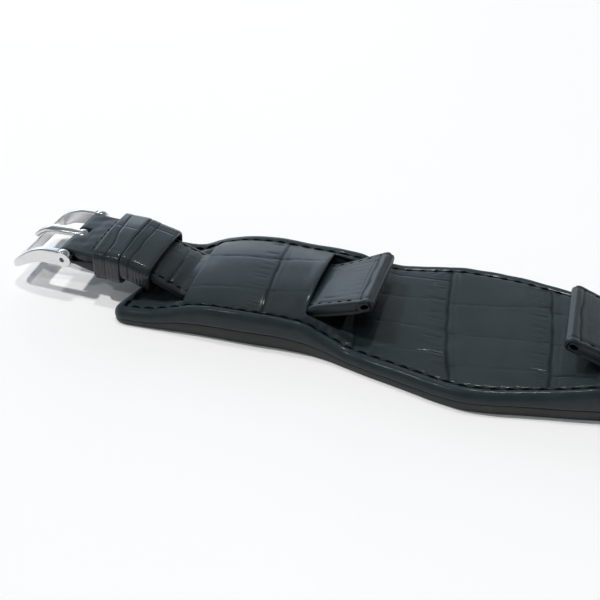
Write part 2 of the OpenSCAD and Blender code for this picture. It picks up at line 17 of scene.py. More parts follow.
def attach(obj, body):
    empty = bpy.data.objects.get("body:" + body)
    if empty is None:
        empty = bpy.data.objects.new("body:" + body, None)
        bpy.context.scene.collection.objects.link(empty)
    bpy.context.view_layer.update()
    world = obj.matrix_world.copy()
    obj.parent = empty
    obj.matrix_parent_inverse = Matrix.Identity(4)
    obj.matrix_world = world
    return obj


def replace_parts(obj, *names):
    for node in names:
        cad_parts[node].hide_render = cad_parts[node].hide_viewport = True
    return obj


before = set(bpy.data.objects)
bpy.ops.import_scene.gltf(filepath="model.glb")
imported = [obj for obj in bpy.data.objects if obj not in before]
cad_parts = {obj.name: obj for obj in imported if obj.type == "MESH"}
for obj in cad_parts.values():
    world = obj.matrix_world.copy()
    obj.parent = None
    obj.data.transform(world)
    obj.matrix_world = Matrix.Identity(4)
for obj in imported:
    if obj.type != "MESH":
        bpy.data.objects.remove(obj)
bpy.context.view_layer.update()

bl_info = {
    "name": "Leather Cuff Watch Strap",
    "version": (1, 0, 0),
    "blender": (4, 5, 0),
    "location": "3D View > Sidebar > Cuff Strap",
    "description": "Builds the leather, thread and steel of a cuff watch strap",
    "category": "Add Mesh",
}

MM = 0.001

# ---- Sizes of the pad, against the place along the strap ----

# Half the pad's length, the radius of its corners and the depth of the hollow in its ends
HALF_LENGTH, CORNER_R, END_HOLLOW = 76.5, 2.8, 1.1
HALF_WIDTH = [
    (0, 20.7), (5, 20.16), (10, 19.1), (15, 18.03), (20, 17.05), (25, 15.87), (30, 14.74), (35, 14.24),
    (40, 14.33), (45, 14.71), (50, 14.98), (55, 15.14), (60, 15.41), (65, 15.91), (70, 16.4), (76.5, 16.8),
]
# How far the far edge lies outside the near edge's mirror image
FAR_BEND = [
    (-76.5, -2.6), (-70, -2.1), (-67, -1.4), (-64.5, -0.5), (-61, 0), (-30, 0.3), (-20, 0.1), (-8, 0.35),
    (0, 0.1), (10, 0.5), (18, 0.6), (30, 0.2), (50, 0), (76.5, 0),
]
# The far edge rolls over more tightly than the near one: insets there against the near ones
FAR_ROLL = [(0, 0.25, 1.75, 2.35, 3), (0, 0.15, 0.6, 2.15, 3)]
# Height of the stitch line along the near and the far edge
NEAR_LEVEL = [
    (-76.5, 3.3), (-69, 4), (-64, 5.2), (-59, 6.6), (-53, 7.2), (-47, 7.3), (-42, 7.2), (-36, 6.9),
    (-30, 5.1), (-24.5, 3.9), (-19, 4), (-8, 4.2), (2, 4.6), (6.5, 4.8), (15.8, 5.6), (25, 6.9), (36, 7.3),
    (47, 7.3), (55, 6.9), (60, 6.2), (66, 4.9), (76.5, 3.3),
]
FAR_LEVEL = [
    (-76.5, 2), (-70, 2.1), (-68, 2.3), (-66.5, 2.8), (-64.5, 3.7), (-61, 5.1), (-57, 6.5), (-51.5, 7.5),
    (-47, 7.9), (-42, 8), (-35, 8.2), (-30, 7.6), (-26, 6.1), (-19, 4.7), (-8, 4.9), (0, 4.6), (10, 5),
    (20, 5.1), (26, 5.8), (34, 7), (47, 7.2), (55, 6.6), (62, 5), (69, 3.9), (76.5, 3.2),
]
# Height of the lining's painted edge
LINING_EDGE = [
    (-76.5, 1.2), (-69, 1.5), (-62, 2.6), (-52, 3.1), (-40, 3.2), (-32, 2.6), (-23, 1.7), (-12, 1.7),
    (0, 2.1), (10, 2.4), (25, 2.4), (40, 3), (55, 2.9), (66, 1.8), (76.5, 1.2),
]
# Half-width and floor of the channel that the halves lie in
CHANNEL_HALF = [(28, 62.3, 66, 73.5), (10.28, 8.98, 10.4, 10.5)]
CHANNEL_FLOOR = [(0, 3.3), (28, 3.3), (39, 3.9), (52.3, 3.7), (60.8, 2.85), (66.3, 2.5), (77.5, 2.45)]
# Where the pad's surfaces close in the middle, and the height inside, where lining and facing are hidden
SPINE_END, LINING_TOP, FACING_UNDER = 58, 1.35, 1.5
# The facing's side and the roll of its edge, and the depth of the stitch line under the edge
SIDE_IN, ROLL_IN, ROLL_DROP = 1.75, 0.6, 0.5

# ---- Sizes of the panel ----

# Its end at the tunnel's mouth, and a slot's ends along the strap and its reach to the near and the far side
MOUTH, SLOT_IN, SLOT_OUT, SLOT_HALF, SLOT_FAR = 62.3, 28.0, 35.0, 10.35, 11.3
# The panel's edge lies this far inside the pad's; a row of stitches lies this far inside a half's edge
MARGIN, EDGE_ROW = 2.35, 1.3
# Crown of the arch over a half, the power it falls with, and the height beside the near end of a slot
RIDGE = [(28, 6), (34, 10.15), (36, 10.1), (38, 9.8), (45, 9.4), (52, 9.15), (58, 8.6), (62.3, 7.85)]
ARCH_POWER = [(34, 2.3), (40, 2.6)]
SLOT_LIP = [(23.5, 3.9), (28, 5.3), (31.5, 6.7), (35, 8)]

# ---- Sizes of the halves and the buckle ----

# Radius of a half's turned nose and of the channel in it, and the length of the turned end
NOSE_R, BORE_R, HEM = 1.5, 1.0, 3.6
# How far the layers of a half run on over its turned end
OVERLAP = 0.8
# Half-width of a half at its lug end and at its other end, and where its taper stops
LUG_HALF, END_HALF, TAPER_END = 10, 8, 74
# The tail's tip, the length of its point and the radius of its holes
TAIL_TIP, TAIL_POINT, HOLE_R = 129.5, 13.0, 1.0
# Place and height of the buckle's spring bar, outer radius of the leather round it and half its thickness
BAR_AT, BAR_Z, LOOP_R, LOOP_SKIN = 92.2, 8.4, 2.0, 0.55
# The turned loop's flap and half-width, and the tongue's notch in it: half-width, start above and end below
FLAP_END, LOOP_HALF, NOTCH_HALF, NOTCH_FROM, NOTCH_TO = 79.3, 7.95, 1.45, 90.3, 89.3
# A stitch's share of its pitch, its slope off its row, and the halves' pitch and thread against the pad's
STITCH_SHARE, SLANT, FINE_PITCH, FINE_THREAD = 0.74, 0.13, 0.72, 0.61
# The frame's reach beyond the bar, its half-width inside and outside, and its rise for each millimetre across
BUCKLE_REACH, BUCKLE_INNER, BUCKLE_OUTER, BUCKLE_ROLL = 13.9, 8.2, 9.8, 0.045
# Heights of the frame's top and underside over the bar, against the share of its reach
BUCKLE_TOP = [(0, 2), (0.31, 1.9), (0.53, 1), (0.7, -0.4), (0.88, -2.4), (1, -4)]
BUCKLE_UNDER = [(0, -2), (0.24, -1.9), (0.45, -2), (0.63, -2.9), (0.82, -4.2), (0.97, -5.1)]
# Rounding of the frame's edges; the eyes' radius, bore and half-width, and the rounding of both rims
FRAME_R, EYE_R, EYE_BORE, EYE_HALF, EYE_R_EDGE, EYE_BORE_EDGE = 0.34, 2.05, 0.56, 0.85, 0.25, 0.1
# The tongue's underside over the bar, its middle over its underside, its half-width and its thickness
TONGUE_END = 0.905
TONGUE_UNDER = [(0, 0.3), (0.27, 0.5), (0.55, 0.45), (0.76, -0.75), (TONGUE_END, -2.35)]
TONGUE_MIDDLE = [(0, 0.75), (0.76, 0.7), (TONGUE_END, 0.62)]
TONGUE_HALF = [(0, 0.95), (0.1, 1), (0.36, 1.32), (0.55, 1.2), (0.75, 0.85), (0.86, 0.85), (TONGUE_END, 0.6)]
TONGUE_THICK = [(0, 0.2, 0.6, TONGUE_END), (1.5, 1.45, 1.4, 1.1)]
# Its ring: the middle radius, half the thickness and half the width
RING_R, RING_THICK, RING_HALF = 1.39, 0.42, 1.25

# Depth of a crease, how far a scale swells over it on the panel and on a half, depth of a stitch row's line
CREASE, PANEL_SWELL, HALF_SWELL, ROW_DEPTH = 0.3, 0.12, 0.08, 0.14
# How far a needle hole pulls down the panel and the facing, along the near and the far edge
PANEL_PULL, FACING_PULL = (0.18, 0.07), (0.16, 0.05)
# Thickness of the panel, how much thinner it is at an edge and at a slot's outer lip, radius of turned edges
PANEL_THICK, EDGE_THIN, LIP_THIN, EDGE_TURN = 0.8, 0.25, 0.25, 0.5
# Share of a half's edge thickness, and the most, under which its lining lies
SEAM_SHARE, SEAM_MOST = 0.47, 0.9

Half = namedtuple("Half", "name side nose end holes row_end cross_row path roll mid edge bands seams")
Keeper = namedtuple("Keeper", "name at low high tilt lean wide body bands seams")

# The stretch of underside that both halves share inside the tunnel
TUNNEL = [(40, 4.35), (46, 4.2), (53.3, 4), (60.8, 3.15), (64.5, 2.9)]
# A half lies on one side of the pad, and its tables go by the distance from the pad's middle: path is its
# underside, roll the rise of its near edge over the far one for each millimetre of width, mid and edge its
# thickness. bands and seams are the creases of its grain. A keeper has its place, the heights of its inside
# over the half's underside, the slope of its band and of its sides, and half its width along the strap.
BUCKLE_HALF = Half(
    name="buckle_half", side=-1, nose=20.7, end=87.0, holes=(), row_end=86, cross_row=86.4,
    path=[(20.7, 10.9), (24.275, 9.248), (27.85, 7.596), (31.425, 6.18), (35, 5), *TUNNEL, (68, 4.2),
          (71.5, 5.6), (75, 6.7), (79, 7.6), (84, 8.15), (92.2, 8.3)],
    roll=[(20, 0.055), (24, 0.06), (28, 0.085), (32, 0.1), (36.5, 0.015), (41, 0), (60, 0), (66, 0.045),
          (71, 0.055), (76, 0.02), (84, 0), (89, 0.03), (93, 0.045)],
    mid=[(20.7, 3), (35, 3.3), (50.3, 3.3), (62.3, 2.9), (78.3, 2.4), (92.2, 2.1)],
    edge=[(20.7, 3), (35, 2.6), (62.3, 1.5), (78.3, 1.6), (92.2, 2)],
    bands=[[(-12, -68.3), (12, -68.9)], [(-12, -52), (12, -52)], [(-12, -22.7), (0, -22.5), (12, -22.6)]],
    seams=[[(-68, 3.2), (-52, 2.6)], [(-68, -3.6), (-52, -3.2)], [(-35, 5.6), (-22, 6.6)],
           [(-34, -6.9), (-22.6, -6.4)], [(-87, 1.6), (-69, 2.2)]])
TAIL_HALF = Half(
    name="tail_half", side=1, nose=16.5, end=TAIL_TIP, holes=[TAIL_TIP - 23 - 6 * i for i in range(7)],
    row_end=TAIL_TIP - 5, cross_row=None,
    path=[(16.5, 10.9), (21.125, 9.248), (25.75, 7.596), (30.375, 6.18), (35, 5), *TUNNEL, (72.5, 2.8),
          (78, 2.75), (84.5, 1.9), (92.5, 0.7), (99.5, 0.15), (129.5, 0.1)],
    roll=[(16, 0.055), (27, 0.045), (37, 0), (130, 0)],
    mid=[(16.5, 3), (35, 3.3), (50.3, 3.3), (62.3, 2.9), (84.5, 2.7), (129.5, 2.4)],
    edge=[(16.5, 3), (35, 2.6), (62.3, 1.5), (129.5, 1.5)],
    bands=[[(-12, x + 0.6), (0, x), (12, x + 0.3)] for x in (18.1, 69, 80, 91.5, 103, 114)],
    seams=[[(x, y), (x + 11, y + 0.5)] for x, y in (
        (69, 3.4), (69, -3.2), (80, 4.4), (80, -2.6), (91.5, 3.2), (91.5, -4), (103, 4.2), (103, -3.1),
        (114, 0.4))])
KEEPERS = (
    Keeper("fixed_keeper", 81.7, -2.85, 2.75, 3, 3, 3.2, "buckle_half",
           [[(-12, 0.3), (-5, 0.2), (0, 0.9), (3, 1.2), (8, 1.3), (12, 1.2)]],
           [[(-3.4, 2.0), (3.4, 2.3)], [(-3.4, -6.2), (0.3, -6.4)]]),
    Keeper("free_keeper", 74.95, -1.45, 3.0, 17, 4, 3.6, "free_keeper_loop",
           [[(-12, 1.6), (-2, 1.3), (5, 1.2), (12, 1.3)]],
           [[(-3.4, 5.4), (3.4, 5.2)]]),
)


# ---- Curves and surfaces ----

def through(knots, x):
    """Monotone cubic through (place, value) knots, with harmonic-mean slopes; it holds the end values."""
    place, value = np.asarray(knots, float).T
    step = np.diff(place)
    leg = np.diff(value) / step
    slope = np.zeros_like(value)
    same = leg[:-1] * leg[1:] > 0
    slope[1:-1] = np.where(same, 2 * leg[:-1] * leg[1:] / np.where(same, leg[:-1] + leg[1:], 1), 0)
    slope[0], slope[-1] = leg[0], leg[-1]
    x = np.clip(np.asarray(x, float), place[0], place[-1])
    i = np.clip(np.searchsorted(place, x, "right") - 1, 0, len(step) - 1)
    t = (x - place[i]) / step[i]
    return ((2 * t**3 - 3 * t**2 + 1) * value[i] + (t**3 - 2 * t**2 + t) * slope[i] * step[i]
            + (3 * t**2 - 2 * t**3) * value[i + 1] + (t**3 - t**2) * slope[i + 1] * step[i])


def ease(t):
    """Smooth step from 0 to 1: 3t^2 - 2t^3 of the clipped t."""
    t = np.clip(t, 0, 1)
    return t * t * (3 - 2 * t)


def bell(distance, width):
    """A bell curve, exp(-(distance / width)^2)."""
    return np.exp(-(distance / width) ** 2)


def rounded(distance, r):
    """How far a rounded edge falls below the flat at a distance in from the side."""
    d = np.clip(distance / r, 0, 1)
    return r * (1 - np.sqrt(np.maximum(0, 1 - (1 - d) ** 2)))


def wobble(x, y, seed, size):
    """Sum of five crossed sine waves, a smooth irregular field between about -1 and 1."""
    total = np.zeros(np.broadcast(x, y).shape)
    for i in range(5):
        a = seed * 1.7 + i * 2.399
        k = 2 * pi / (size * (0.6 + 0.23 * i))
        total = total + np.sin(k * (x * cos(a) + y * sin(a)) + seed + 1.3 * i) / (1.4 + 0.5 * i)
    return total / 2


def superellipse(a, power):
    """Cosine and sine of an angle, each raised to a power with its sign kept: a squared-up circle."""
    c, s = np.cos(a), np.sin(a)
    return np.sign(c) * np.abs(c) ** power, np.sign(s) * np.abs(s) ** power


def pack(*parts):
    """Coordinates broadcast to one shape and joined as points."""
    return np.stack(np.broadcast_arrays(*parts), -1)


def unit(vectors):
    return vectors / np.linalg.norm(vectors, axis=-1, keepdims=True)


def between(values):
    return (values[1:] + values[:-1]) / 2


def circle(steps):
    return np.linspace(0, 2 * pi, steps, endpoint=False)


def lengths(line):
    """Length along a line of points, at each of them."""
    return np.concatenate([[0], np.cumsum(np.linalg.norm(np.diff(line, axis=0), axis=1))])


def pick(line, at):
    """Points on a line at lengths along it."""
    return pack(*(np.interp(at, lengths(line), column) for column in line.T))


def nearest(points, marks):
    """Distance in plan from each point to the nearest mark."""
    return np.sqrt(((points[:, None] - marks[None]) ** 2).sum(-1)).min(1)


def lines(breaks, step, fine=(0.06, 0.2, 0.4)):
    """Places between break points, about a step apart, with a few close ones beside each break."""
    fine = np.array(fine)
    out = []
    for a, b in zip(breaks[:-1], breaks[1:]):
        out += [np.linspace(a, b, max(2, int(round((b - a) / step)) + 1)), a + fine, b - fine]
    return np.unique(np.round(np.concatenate(out), 4))


def build(name, points, faces, body, material, slot, dip=None, weld=True, close=False):
    """Puts arrays of points in millimetres and of faces into a mesh that rides on a body. The optional depth
    of each point in a crease or channel, from 0 to 1, is kept for the material, which paints shade there by
    it, and close fills the open ends of tubes."""
    mesh = bpy.data.meshes.new(name)
    mesh.from_pydata((points * MM).tolist(), [], [f for part in faces for f in part.tolist()])
    mesh.polygons.foreach_set("use_smooth", np.ones(len(mesh.polygons), bool))
    if dip is not None:
        layer = mesh.attributes.new("dip", "FLOAT", "POINT")
        layer.data.foreach_set("value", np.ravel(dip).astype(np.float32))
    if weld or close:
        bm = bmesh.new()
        bm.from_mesh(mesh)
        if weld:
            bmesh.ops.remove_doubles(bm, verts=bm.verts, dist=2e-7)
            bmesh.ops.dissolve_degenerate(bm, edges=bm.edges, dist=1e-8)
        if close:
            bmesh.ops.holes_fill(bm, edges=[e for e in bm.edges if e.is_boundary], sides=0)
        bmesh.ops.recalc_face_normals(bm, faces=bm.faces)
        bm.to_mesh(mesh)
        bm.free()
    mesh.materials.append(finish(material))
    piece = bpy.data.objects.new(name, mesh)
    bpy.context.scene.collection.objects.link(piece)
    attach(piece, body)
    return piece


def grid_faces(rows, cols, wrap_rows=False, wrap_cols=False, start=0):
    """Quads of a grid of points, joined to itself where it wraps."""
    i = np.arange(rows if wrap_rows else rows - 1)[:, None]
    j = np.arange(cols if wrap_cols else cols - 1)[None, :]
    i2, j2 = (i + 1) % rows, (j + 1) % cols
    return np.stack([i * cols + j, i2 * cols + j, i2 * cols + j2, i * cols + j2], -1).reshape(-1, 4) + start


def thick_sheet(top, under, keep, dip=0.0):
    """A sheet between two grids of points: the kept cells above and below, and a wall at every open edge. It
    gives the points, the faces and each point's depth in a crease, by which the material paints shade, which
    is 0 underneath."""
    index = np.arange(top[..., 0].size).reshape(top.shape[:2])
    n = index.size
    a, b, c, d = index[:-1, :-1], index[1:, :-1], index[1:, 1:], index[:-1, 1:]
    pad = np.pad(keep, 1)
    faces = [np.stack([a, b, c, d], -1)[keep], np.stack([d, c, b, a], -1)[keep] + n]
    for p, q, beyond in ((a, b, pad[1:-1, :-2]), (b, c, pad[2:, 1:-1]), (c, d, pad[1:-1, 2:]),
                         (d, a, pad[:-2, 1:-1])):
        edge = keep & ~beyond
        faces.append(np.stack([p[edge] + n, q[edge] + n, q[edge], p[edge]], -1))
    faces = np.concatenate(faces)
    used = np.unique(faces)
    renumber = np.zeros(2 * n, int)
    renumber[used] = np.arange(len(used))
    points = np.concatenate([top.reshape(-1, 3), under.reshape(-1, 3)])
    shade_depths = np.concatenate([np.broadcast_to(dip, index.shape).ravel(), np.zeros(n)])
    return points[used], [renumber[faces]], shade_depths[used]


def pierce(u, v, centres, r, reach, share):
    """Squares of the grid about each hole's centre become rings, so that one lies on the hole's edge."""
    for centre in centres:
        du, dv = u - centre, v
        q = np.maximum(np.abs(du), np.abs(dv)) / reach
        distance = np.hypot(du, dv)
        square = np.where(distance > 1e-9, distance / np.maximum(q, 1e-9), reach)
        wanted = np.where(q < share, r * q / share, r + (square - r) * (q - share) / (1 - share))
        scale = np.where((q < 1) & (distance > 1e-9), wanted / np.maximum(distance, 1e-9), 1)
        u, v = centre + du * scale, dv * scale
    return u, v


def tube(path, half_wide, half_thick, side, sections, power):
    """Closed tubes: rounded sections carried along each path. path is (tubes, places, 3), side gives the
    section's wide direction, and a superellipse with the given power rounds it."""
    forward = unit(np.gradient(path, axis=1))
    across = unit(side - (side * forward).sum(-1, keepdims=True) * forward)
    up = np.cross(across, forward)
    c, s = superellipse(circle(sections), power)
    ring = (path[:, :, None] + across[:, :, None] * (half_wide[..., None] * c)[..., None]
            + up[:, :, None] * (half_thick[..., None] * s)[..., None])
    n, m = path.shape[:2]
    faces = [grid_faces(m, sections, wrap_cols=True, start=i * m * sections) for i in range(n)]
    return ring.reshape(-1, 3), faces


# ---- The pad's outline and heights ----

def half_width(x):
    """Half-width of the pad, the same at both ends."""
    return through([(-a, b) for a, b in HALF_WIDTH[:0:-1]] + HALF_WIDTH, x)


def pad_ring(inset):
    """The pad's outline moved in, as one loop: two long sides, four round corners and two hollow ends."""
    r = max(CORNER_R - inset, 0.35)
    end = HALF_LENGTH - inset
    x = np.linspace(-(end - r), end - r, 341)
    half = half_width(x)
    widen = np.sqrt(1 + np.gradient(half, x) ** 2)
    near = -(half - inset * widen)
    far = half + through(FAR_BEND, x) - np.interp(inset, *FAR_ROLL) * widen
    turn = np.radians(np.linspace(0, 90, 9)[1:])
    back = turn[:-1] - turn[0]

    def closing(low, high, sign):
        y = np.linspace(low + r, high - r, 45)[1:-1]
        middle, reach = (low + high) / 2, (high - low) / 2 - r
        return sign * np.concatenate([
            pack(end - r + r * np.sin(turn), low + r - r * np.cos(turn)),
            pack(end - END_HOLLOW * (1 - ((y - middle) / reach) ** 2), y),
            pack(end - r + r * np.cos(back), high - r + r * np.sin(back))])

    loop = np.concatenate([
        pack(x, near), closing(near[-1], far[-1], np.array([1, 1])), pack(x, far)[::-1],
        closing(near[0], far[0], np.array([-1, 1]))[::-1]])
    # The near corner beside the buckle half reaches a little further out
    loop[:, 0] -= 1.3 * ease((-66 - loop[:, 0]) / 10) * ease((-2 - loop[:, 1]) / 12)
    return loop


def level(x, y):
    """Height of the stitch line, blended from the near edge's to the far edge's."""
    t = ease((y / half_width(x) + 1) / 2)
    return through(NEAR_LEVEL, x) * (1 - t) + through(FAR_LEVEL, x) * t


def bed_height(x, y):
    """Top of the facing inside its stitch line: sunk beside the strap, and lower in the strap's channel."""
    u = np.abs(x)
    floor = through(CHANNEL_FLOOR, u)
    beside = level(x, y) - 0.15 - 0.85 * ease((63.6 - u) / 1.2)
    return floor + (np.maximum(beside, floor) - floor) * ease((np.abs(y) - np.interp(u, *CHANNEL_HALF)) / 1.5)


def ring_surface(profile, first_height, last_height, rings=11):
    """Closed form from a profile of (inset, height) steps round the pad's outline. From the first and the
    last step the surface runs in to the pad's middle line, at the height that each function gives."""
    loops = [np.column_stack([pad_ring(inset), height(pad_ring(inset))]) for inset, height in profile]

    def inner(loop, height):
        spine = np.column_stack([np.clip(loop[:, 0], -SPINE_END, SPINE_END), np.zeros(len(loop))])
        shrunk = [loop[:, :2] * (1 - k) + spine * k for k in np.linspace(0, 1, rings + 1)[1:]]
        return [np.column_stack([xy, height(xy)]) for xy in shrunk]

    grid = np.array(inner(loops[0], first_height)[::-1] + loops + inner(loops[-1], last_height))
    return grid.reshape(-1, 3), [grid_faces(*grid.shape[:2], wrap_cols=True)]


# ---- The alligator grain ----

# Cross creases as (y, x) knots and lengthwise creases as (x, y) knots
BANDS = [
    [(-20, -43.8), (-8.3, -44.5), (-3.6, -44.8), (4, -45.3), (12.4, -45.9), (20, -46.4)],
    [(-20, -22.8), (-11.6, -24.3), (-4.7, -26), (5, -27.4), (20, -28.6)],
    [(-20, -3), (-16.8, -3.6), (-12.5, -4.8), (-0.1, -7), (14.9, -8.7), (20, -9.2)],
    [(-20, 15.7), (-13.7, 15.4), (0, 14.7), (15.3, 13.3), (20, 12.8)],
    [(-20, 33.6), (0, 32.8), (20, 33.2)],
    [(-20, 50.4), (0, 51.2), (20, 50.6)],
]
SEAMS = [
    [(-64, 2.6), (-60.3, 2.9), (-45.8, 4.7), (-34.8, 6.8)],
    [(-64, -8.5), (-59.7, -8), (-46, -6.6), (-34.8, -5.2)],
    [(-26, 4), (-8, 6.6)], [(-26, -4.4), (-19.6, -3.8), (-6.9, -3.2)],
    [(-24, -12.4), (-17.7, -11.6), (-5, -10.2)], [(-24, 12.2), (-8.4, 13.6)],
    [(-7.8, 5.7), (-5.3, 6.1), (13.6, 10.2)], [(-6.4, -4.1), (-3.6, -3.8), (14.3, -1.8)],
    [(-4.4, -13.7), (-1.6, -13.2), (15, -10.6)], [(14.5, 8.6), (33, 7.2)], [(15, -2.2), (33, -1.6)],
    [(15.6, -11.8), (33, -10.8)], [(33.4, 4.6), (51, 3.8)], [(33.2, -5.8), (51, -6.6)],
    [(51, 7.4), (64, 6.6)], [(51, -2.2), (64, -2.8)],
]


def grain_relief(x, y, bands, seams, depth, swell, ripples=1.0, fine=0.75):
    """Height of the alligator grain. Each scale is a low pillow, swell * (1 - exp(-d^2)) of the distance d to
    the nearest crease; each crease is a bell-shaped groove of a depth, and short ripples run along the strap
    before each cross crease. fine scales the creases' widths."""
    x = x + 0.16 * wobble(x, y, 3.1, 9)
    y = y + 0.14 * wobble(x, y, 5.7, 11)
    near_band = np.full(np.broadcast(x, y).shape, 1e3)
    near_seam = near_band
    relief = np.zeros_like(near_band)
    for i, band in enumerate(bands):
        def wave(seed, size):
            return wobble(y, 0, seed + i, size)
        d = x - through(band, y)
        width = fine * (0.4 + 0.1 * wave(2, 7))
        relief = relief - 0.62 * depth * (0.9 + 0.3 * wave(8, 9)) * bell(d, width)
        relief = relief - 0.16 * depth * bell(d - 1.5 - 0.15 * wave(4, 8), 0.6 * width)
        before = ease((-d - 0.6) / 0.9) * ease((d + 6 + 1.4 * wave(9, 3)) / 3.2)
        lane = y / 0.95 + 0.12 * wobble(y, x, 6 + i, 9)
        ripple = np.maximum(0, np.cos(2 * pi * lane)) ** 4 * (0.6 + 0.6 * wave(3, 4))
        relief = relief - 0.55 * ripples * depth * before * ripple
        near_band = np.minimum(near_band, np.abs(d))
    for i, seam in enumerate(seams):
        d = y - through(seam, x)
        reach = ease((x - seam[0][0] + 0.5) / 1.2) * ease((seam[-1][0] + 0.5 - x) / 1.2)
        relief = relief - (0.34 + 0.16 * wobble(x, 0, 5 + i, 6)) * depth * reach * bell(d, 0.24 * fine)
        near_seam = np.minimum(near_seam, np.where(reach > 0.3, np.abs(d), 1e3))
    pillow = swell * (1 - bell(near_band, 2.4)) + 0.15 * swell * (1 - bell(near_seam, 1.8))
    return relief + pillow + 0.04 * wobble(x, y, 1.1, 13)


def shade_depths(relief):
    """Depth of the creases as a share from 0 to 1, by which the material paints shade in them."""
    return np.clip(-relief * 6, 0, 1)


# ---- Materials ----

def wire(tree, node, inputs):
    """Gives each named input a constant, or a link from another node's output."""
    for key, value in inputs.items():
        if isinstance(value, bpy.types.NodeSocket):
            tree.links.new(value, node.inputs[key])
        else:
            node.inputs[key].default_value = value


def add(tree, kind, inputs={}, **settings):
    """A node with its settings and its inputs."""
    node = tree.nodes.new(kind)
    for key, value in settings.items():
        setattr(node, key, value)
    wire(tree, node, inputs)
    return node


def math_node(tree, operation, a, b, clamp=False):
    return add(tree, "ShaderNodeMath", {0: a, 1: b}, operation=operation, use_clamp=clamp).outputs[0]


def ramp(tree, value, low, gain, clamp=True):
    """gain * (value - low)."""
    return math_node(tree, "MULTIPLY", math_node(tree, "SUBTRACT", value, low), gain, clamp)


def blend(tree, share, a, b):
    """The share of the way from one colour to another."""
    return add(tree, "ShaderNodeMix", {0: share, 6: a, 7: b}, data_type="RGBA").outputs[2]


def noise(tree, place, scale, detail=2.0):
    return add(tree, "ShaderNodeTexNoise", {"Vector": place, "Scale": scale, "Detail": detail}).outputs["Fac"]


def object_place(tree):
    return add(tree, "ShaderNodeTexCoord").outputs["Object"]


def stretched(tree, place, scale):
    return add(tree, "ShaderNodeMapping", {"Vector": place, "Scale": scale}).outputs[0]


def bumped(tree, height, distance, strength=1.0):
    """A normal from a height that stands for some millimetres."""
    return add(tree, "ShaderNodeBump",
               {"Strength": strength, "Distance": distance * MM, "Height": height}).outputs["Normal"]


def grouped(tree, name, inputs):
    return add(tree, "ShaderNodeGroup", inputs, node_tree=bpy.data.node_groups[name]).outputs


def opaque(colour, gain=1):
    return (*(c * gain for c in colour), 1)


def new_material(name):
    """A material's tree and its shader."""
    material = bpy.data.materials.new(name)
    material.use_nodes = True
    return material.node_tree, material.node_tree.nodes["Principled BSDF"]


def finish(name):
    return bpy.data.materials[name]


def new_group(name, inputs, outputs):
    """A node group for numbers: its tree, what it is given and the node that gives its results."""
    tree = bpy.data.node_groups.new(name, "ShaderNodeTree")
    socket = partial(tree.interface.new_socket, socket_type="NodeSocketFloat")
    for label, default in inputs.items():
        socket(label, in_out="INPUT").default_value = default
    for label in outputs:
        socket(label, in_out="OUTPUT")
    return tree, tree.nodes.new("NodeGroupInput").outputs, tree.nodes.new("NodeGroupOutput")


def leather_grain_group():
    """Fine hair-cell grain: small cells with soft edges, broken pores and slow swells."""
    tree, given, out = new_group(
        "Leather Grain", {"Cell Size": 1.0, "Pores": 0.5}, ("Height", "Tone", "Gloss"))
    maths = partial(math_node, tree)
    scale = maths("DIVIDE", 1 / MM, given["Cell Size"])
    place = add(tree, "ShaderNodeVectorMath", {"Vector": object_place(tree), "Scale": scale},
                operation="SCALE").outputs[0]
    cells = add(tree, "ShaderNodeTexVoronoi", {"Vector": place, "Scale": 2.2, "Randomness": 0.9},
                feature="DISTANCE_TO_EDGE").outputs["Distance"]
    pores = add(tree, "ShaderNodeTexVoronoi", {"Vector": place, "Scale": 1.1},
                feature="F1").outputs["Distance"]
    fine, slow = noise(tree, place, 3.4, 4.0), noise(tree, place, 0.11, 3.0)
    edge = maths("MULTIPLY", maths("MINIMUM", cells, 0.16), 3.2)
    pit = maths("MULTIPLY", maths("LESS_THAN", pores, 0.1), given["Pores"])
    wire(tree, out, {
        "Height": maths("SUBTRACT", maths("ADD", edge, maths("MULTIPLY", fine, 0.55)), pit), "Tone": slow,
        "Gloss": maths("ADD", maths("MULTIPLY", fine, 0.35), maths("MULTIPLY", slow, 0.65))})


def wear_and_sheen_group():
    """Rubbed marks: thin scuffs stretched along the strap where a slow noise lets them show. In leather they
    lighten the colour, partly as wear and partly as painted sheen streaks.
    """
    tree, given, out = new_group("Rubbed Marks And Sheen Streaks", {"Amount": 0.3}, ("Mask",))
    place = object_place(tree)
    thin = ramp(tree, noise(tree, stretched(tree, place, (260, 1500, 900)), 1.0, 5.0), 0.62, 6.0)
    where = ramp(tree, noise(tree, place, 120.0), 0.5, 5.0)
    shown = math_node(tree, "MULTIPLY", thin, where)
    wire(tree, out, {"Mask": math_node(tree, "MULTIPLY", shown, given["Amount"])})


def leather(name, colour, light, rough, cell, pores, bump, wear_and_sheen, crease=False, coat=0.0, polish=0.17):
    """Dyed leather: the grain group drives bump, colour and roughness, and rubbed marks lighten it, partly as
    wear and partly as painted sheen streaks. With crease set, the material paints shade in the pressed
    creases by darkening them, and makes them duller. polish is the roughness of its coat."""
    tree, shader = new_material(name)
    maths = partial(math_node, tree)
    grain = grouped(tree, "Leather Grain", {"Cell Size": cell, "Pores": pores})
    shade = blend(tree, ramp(tree, grain["Tone"], 0.35, 2.6), opaque(colour), opaque(light))
    gloss = ramp(tree, grain["Gloss"], 0.5, 0.35, False)
    if crease:
        # Painted shade: each point's crease or channel depth blends the colour towards 0.4 of the dye
        dip = add(tree, "ShaderNodeAttribute", attribute_name="dip").outputs["Fac"]
        shade = blend(tree, dip, shade, opaque(colour, 0.4))
        gloss = maths("ADD", gloss, maths("MULTIPLY", dip, 0.35))
    # Rubbed marks lighten the colour: partly wear, and on the margin partly painted sheen streaks
    marks = grouped(tree, "Rubbed Marks And Sheen Streaks", {"Amount": wear_and_sheen})["Mask"]
    wire(tree, shader, {
        "Base Color": blend(tree, marks, shade, opaque(light, 4)),
        "Roughness": maths("ADD", gloss, rough, True), "Normal": bumped(tree, grain["Height"], bump, 0.8),
        "Coat Weight": coat, "Coat Roughness": polish, "Specular IOR Level": 0.25})


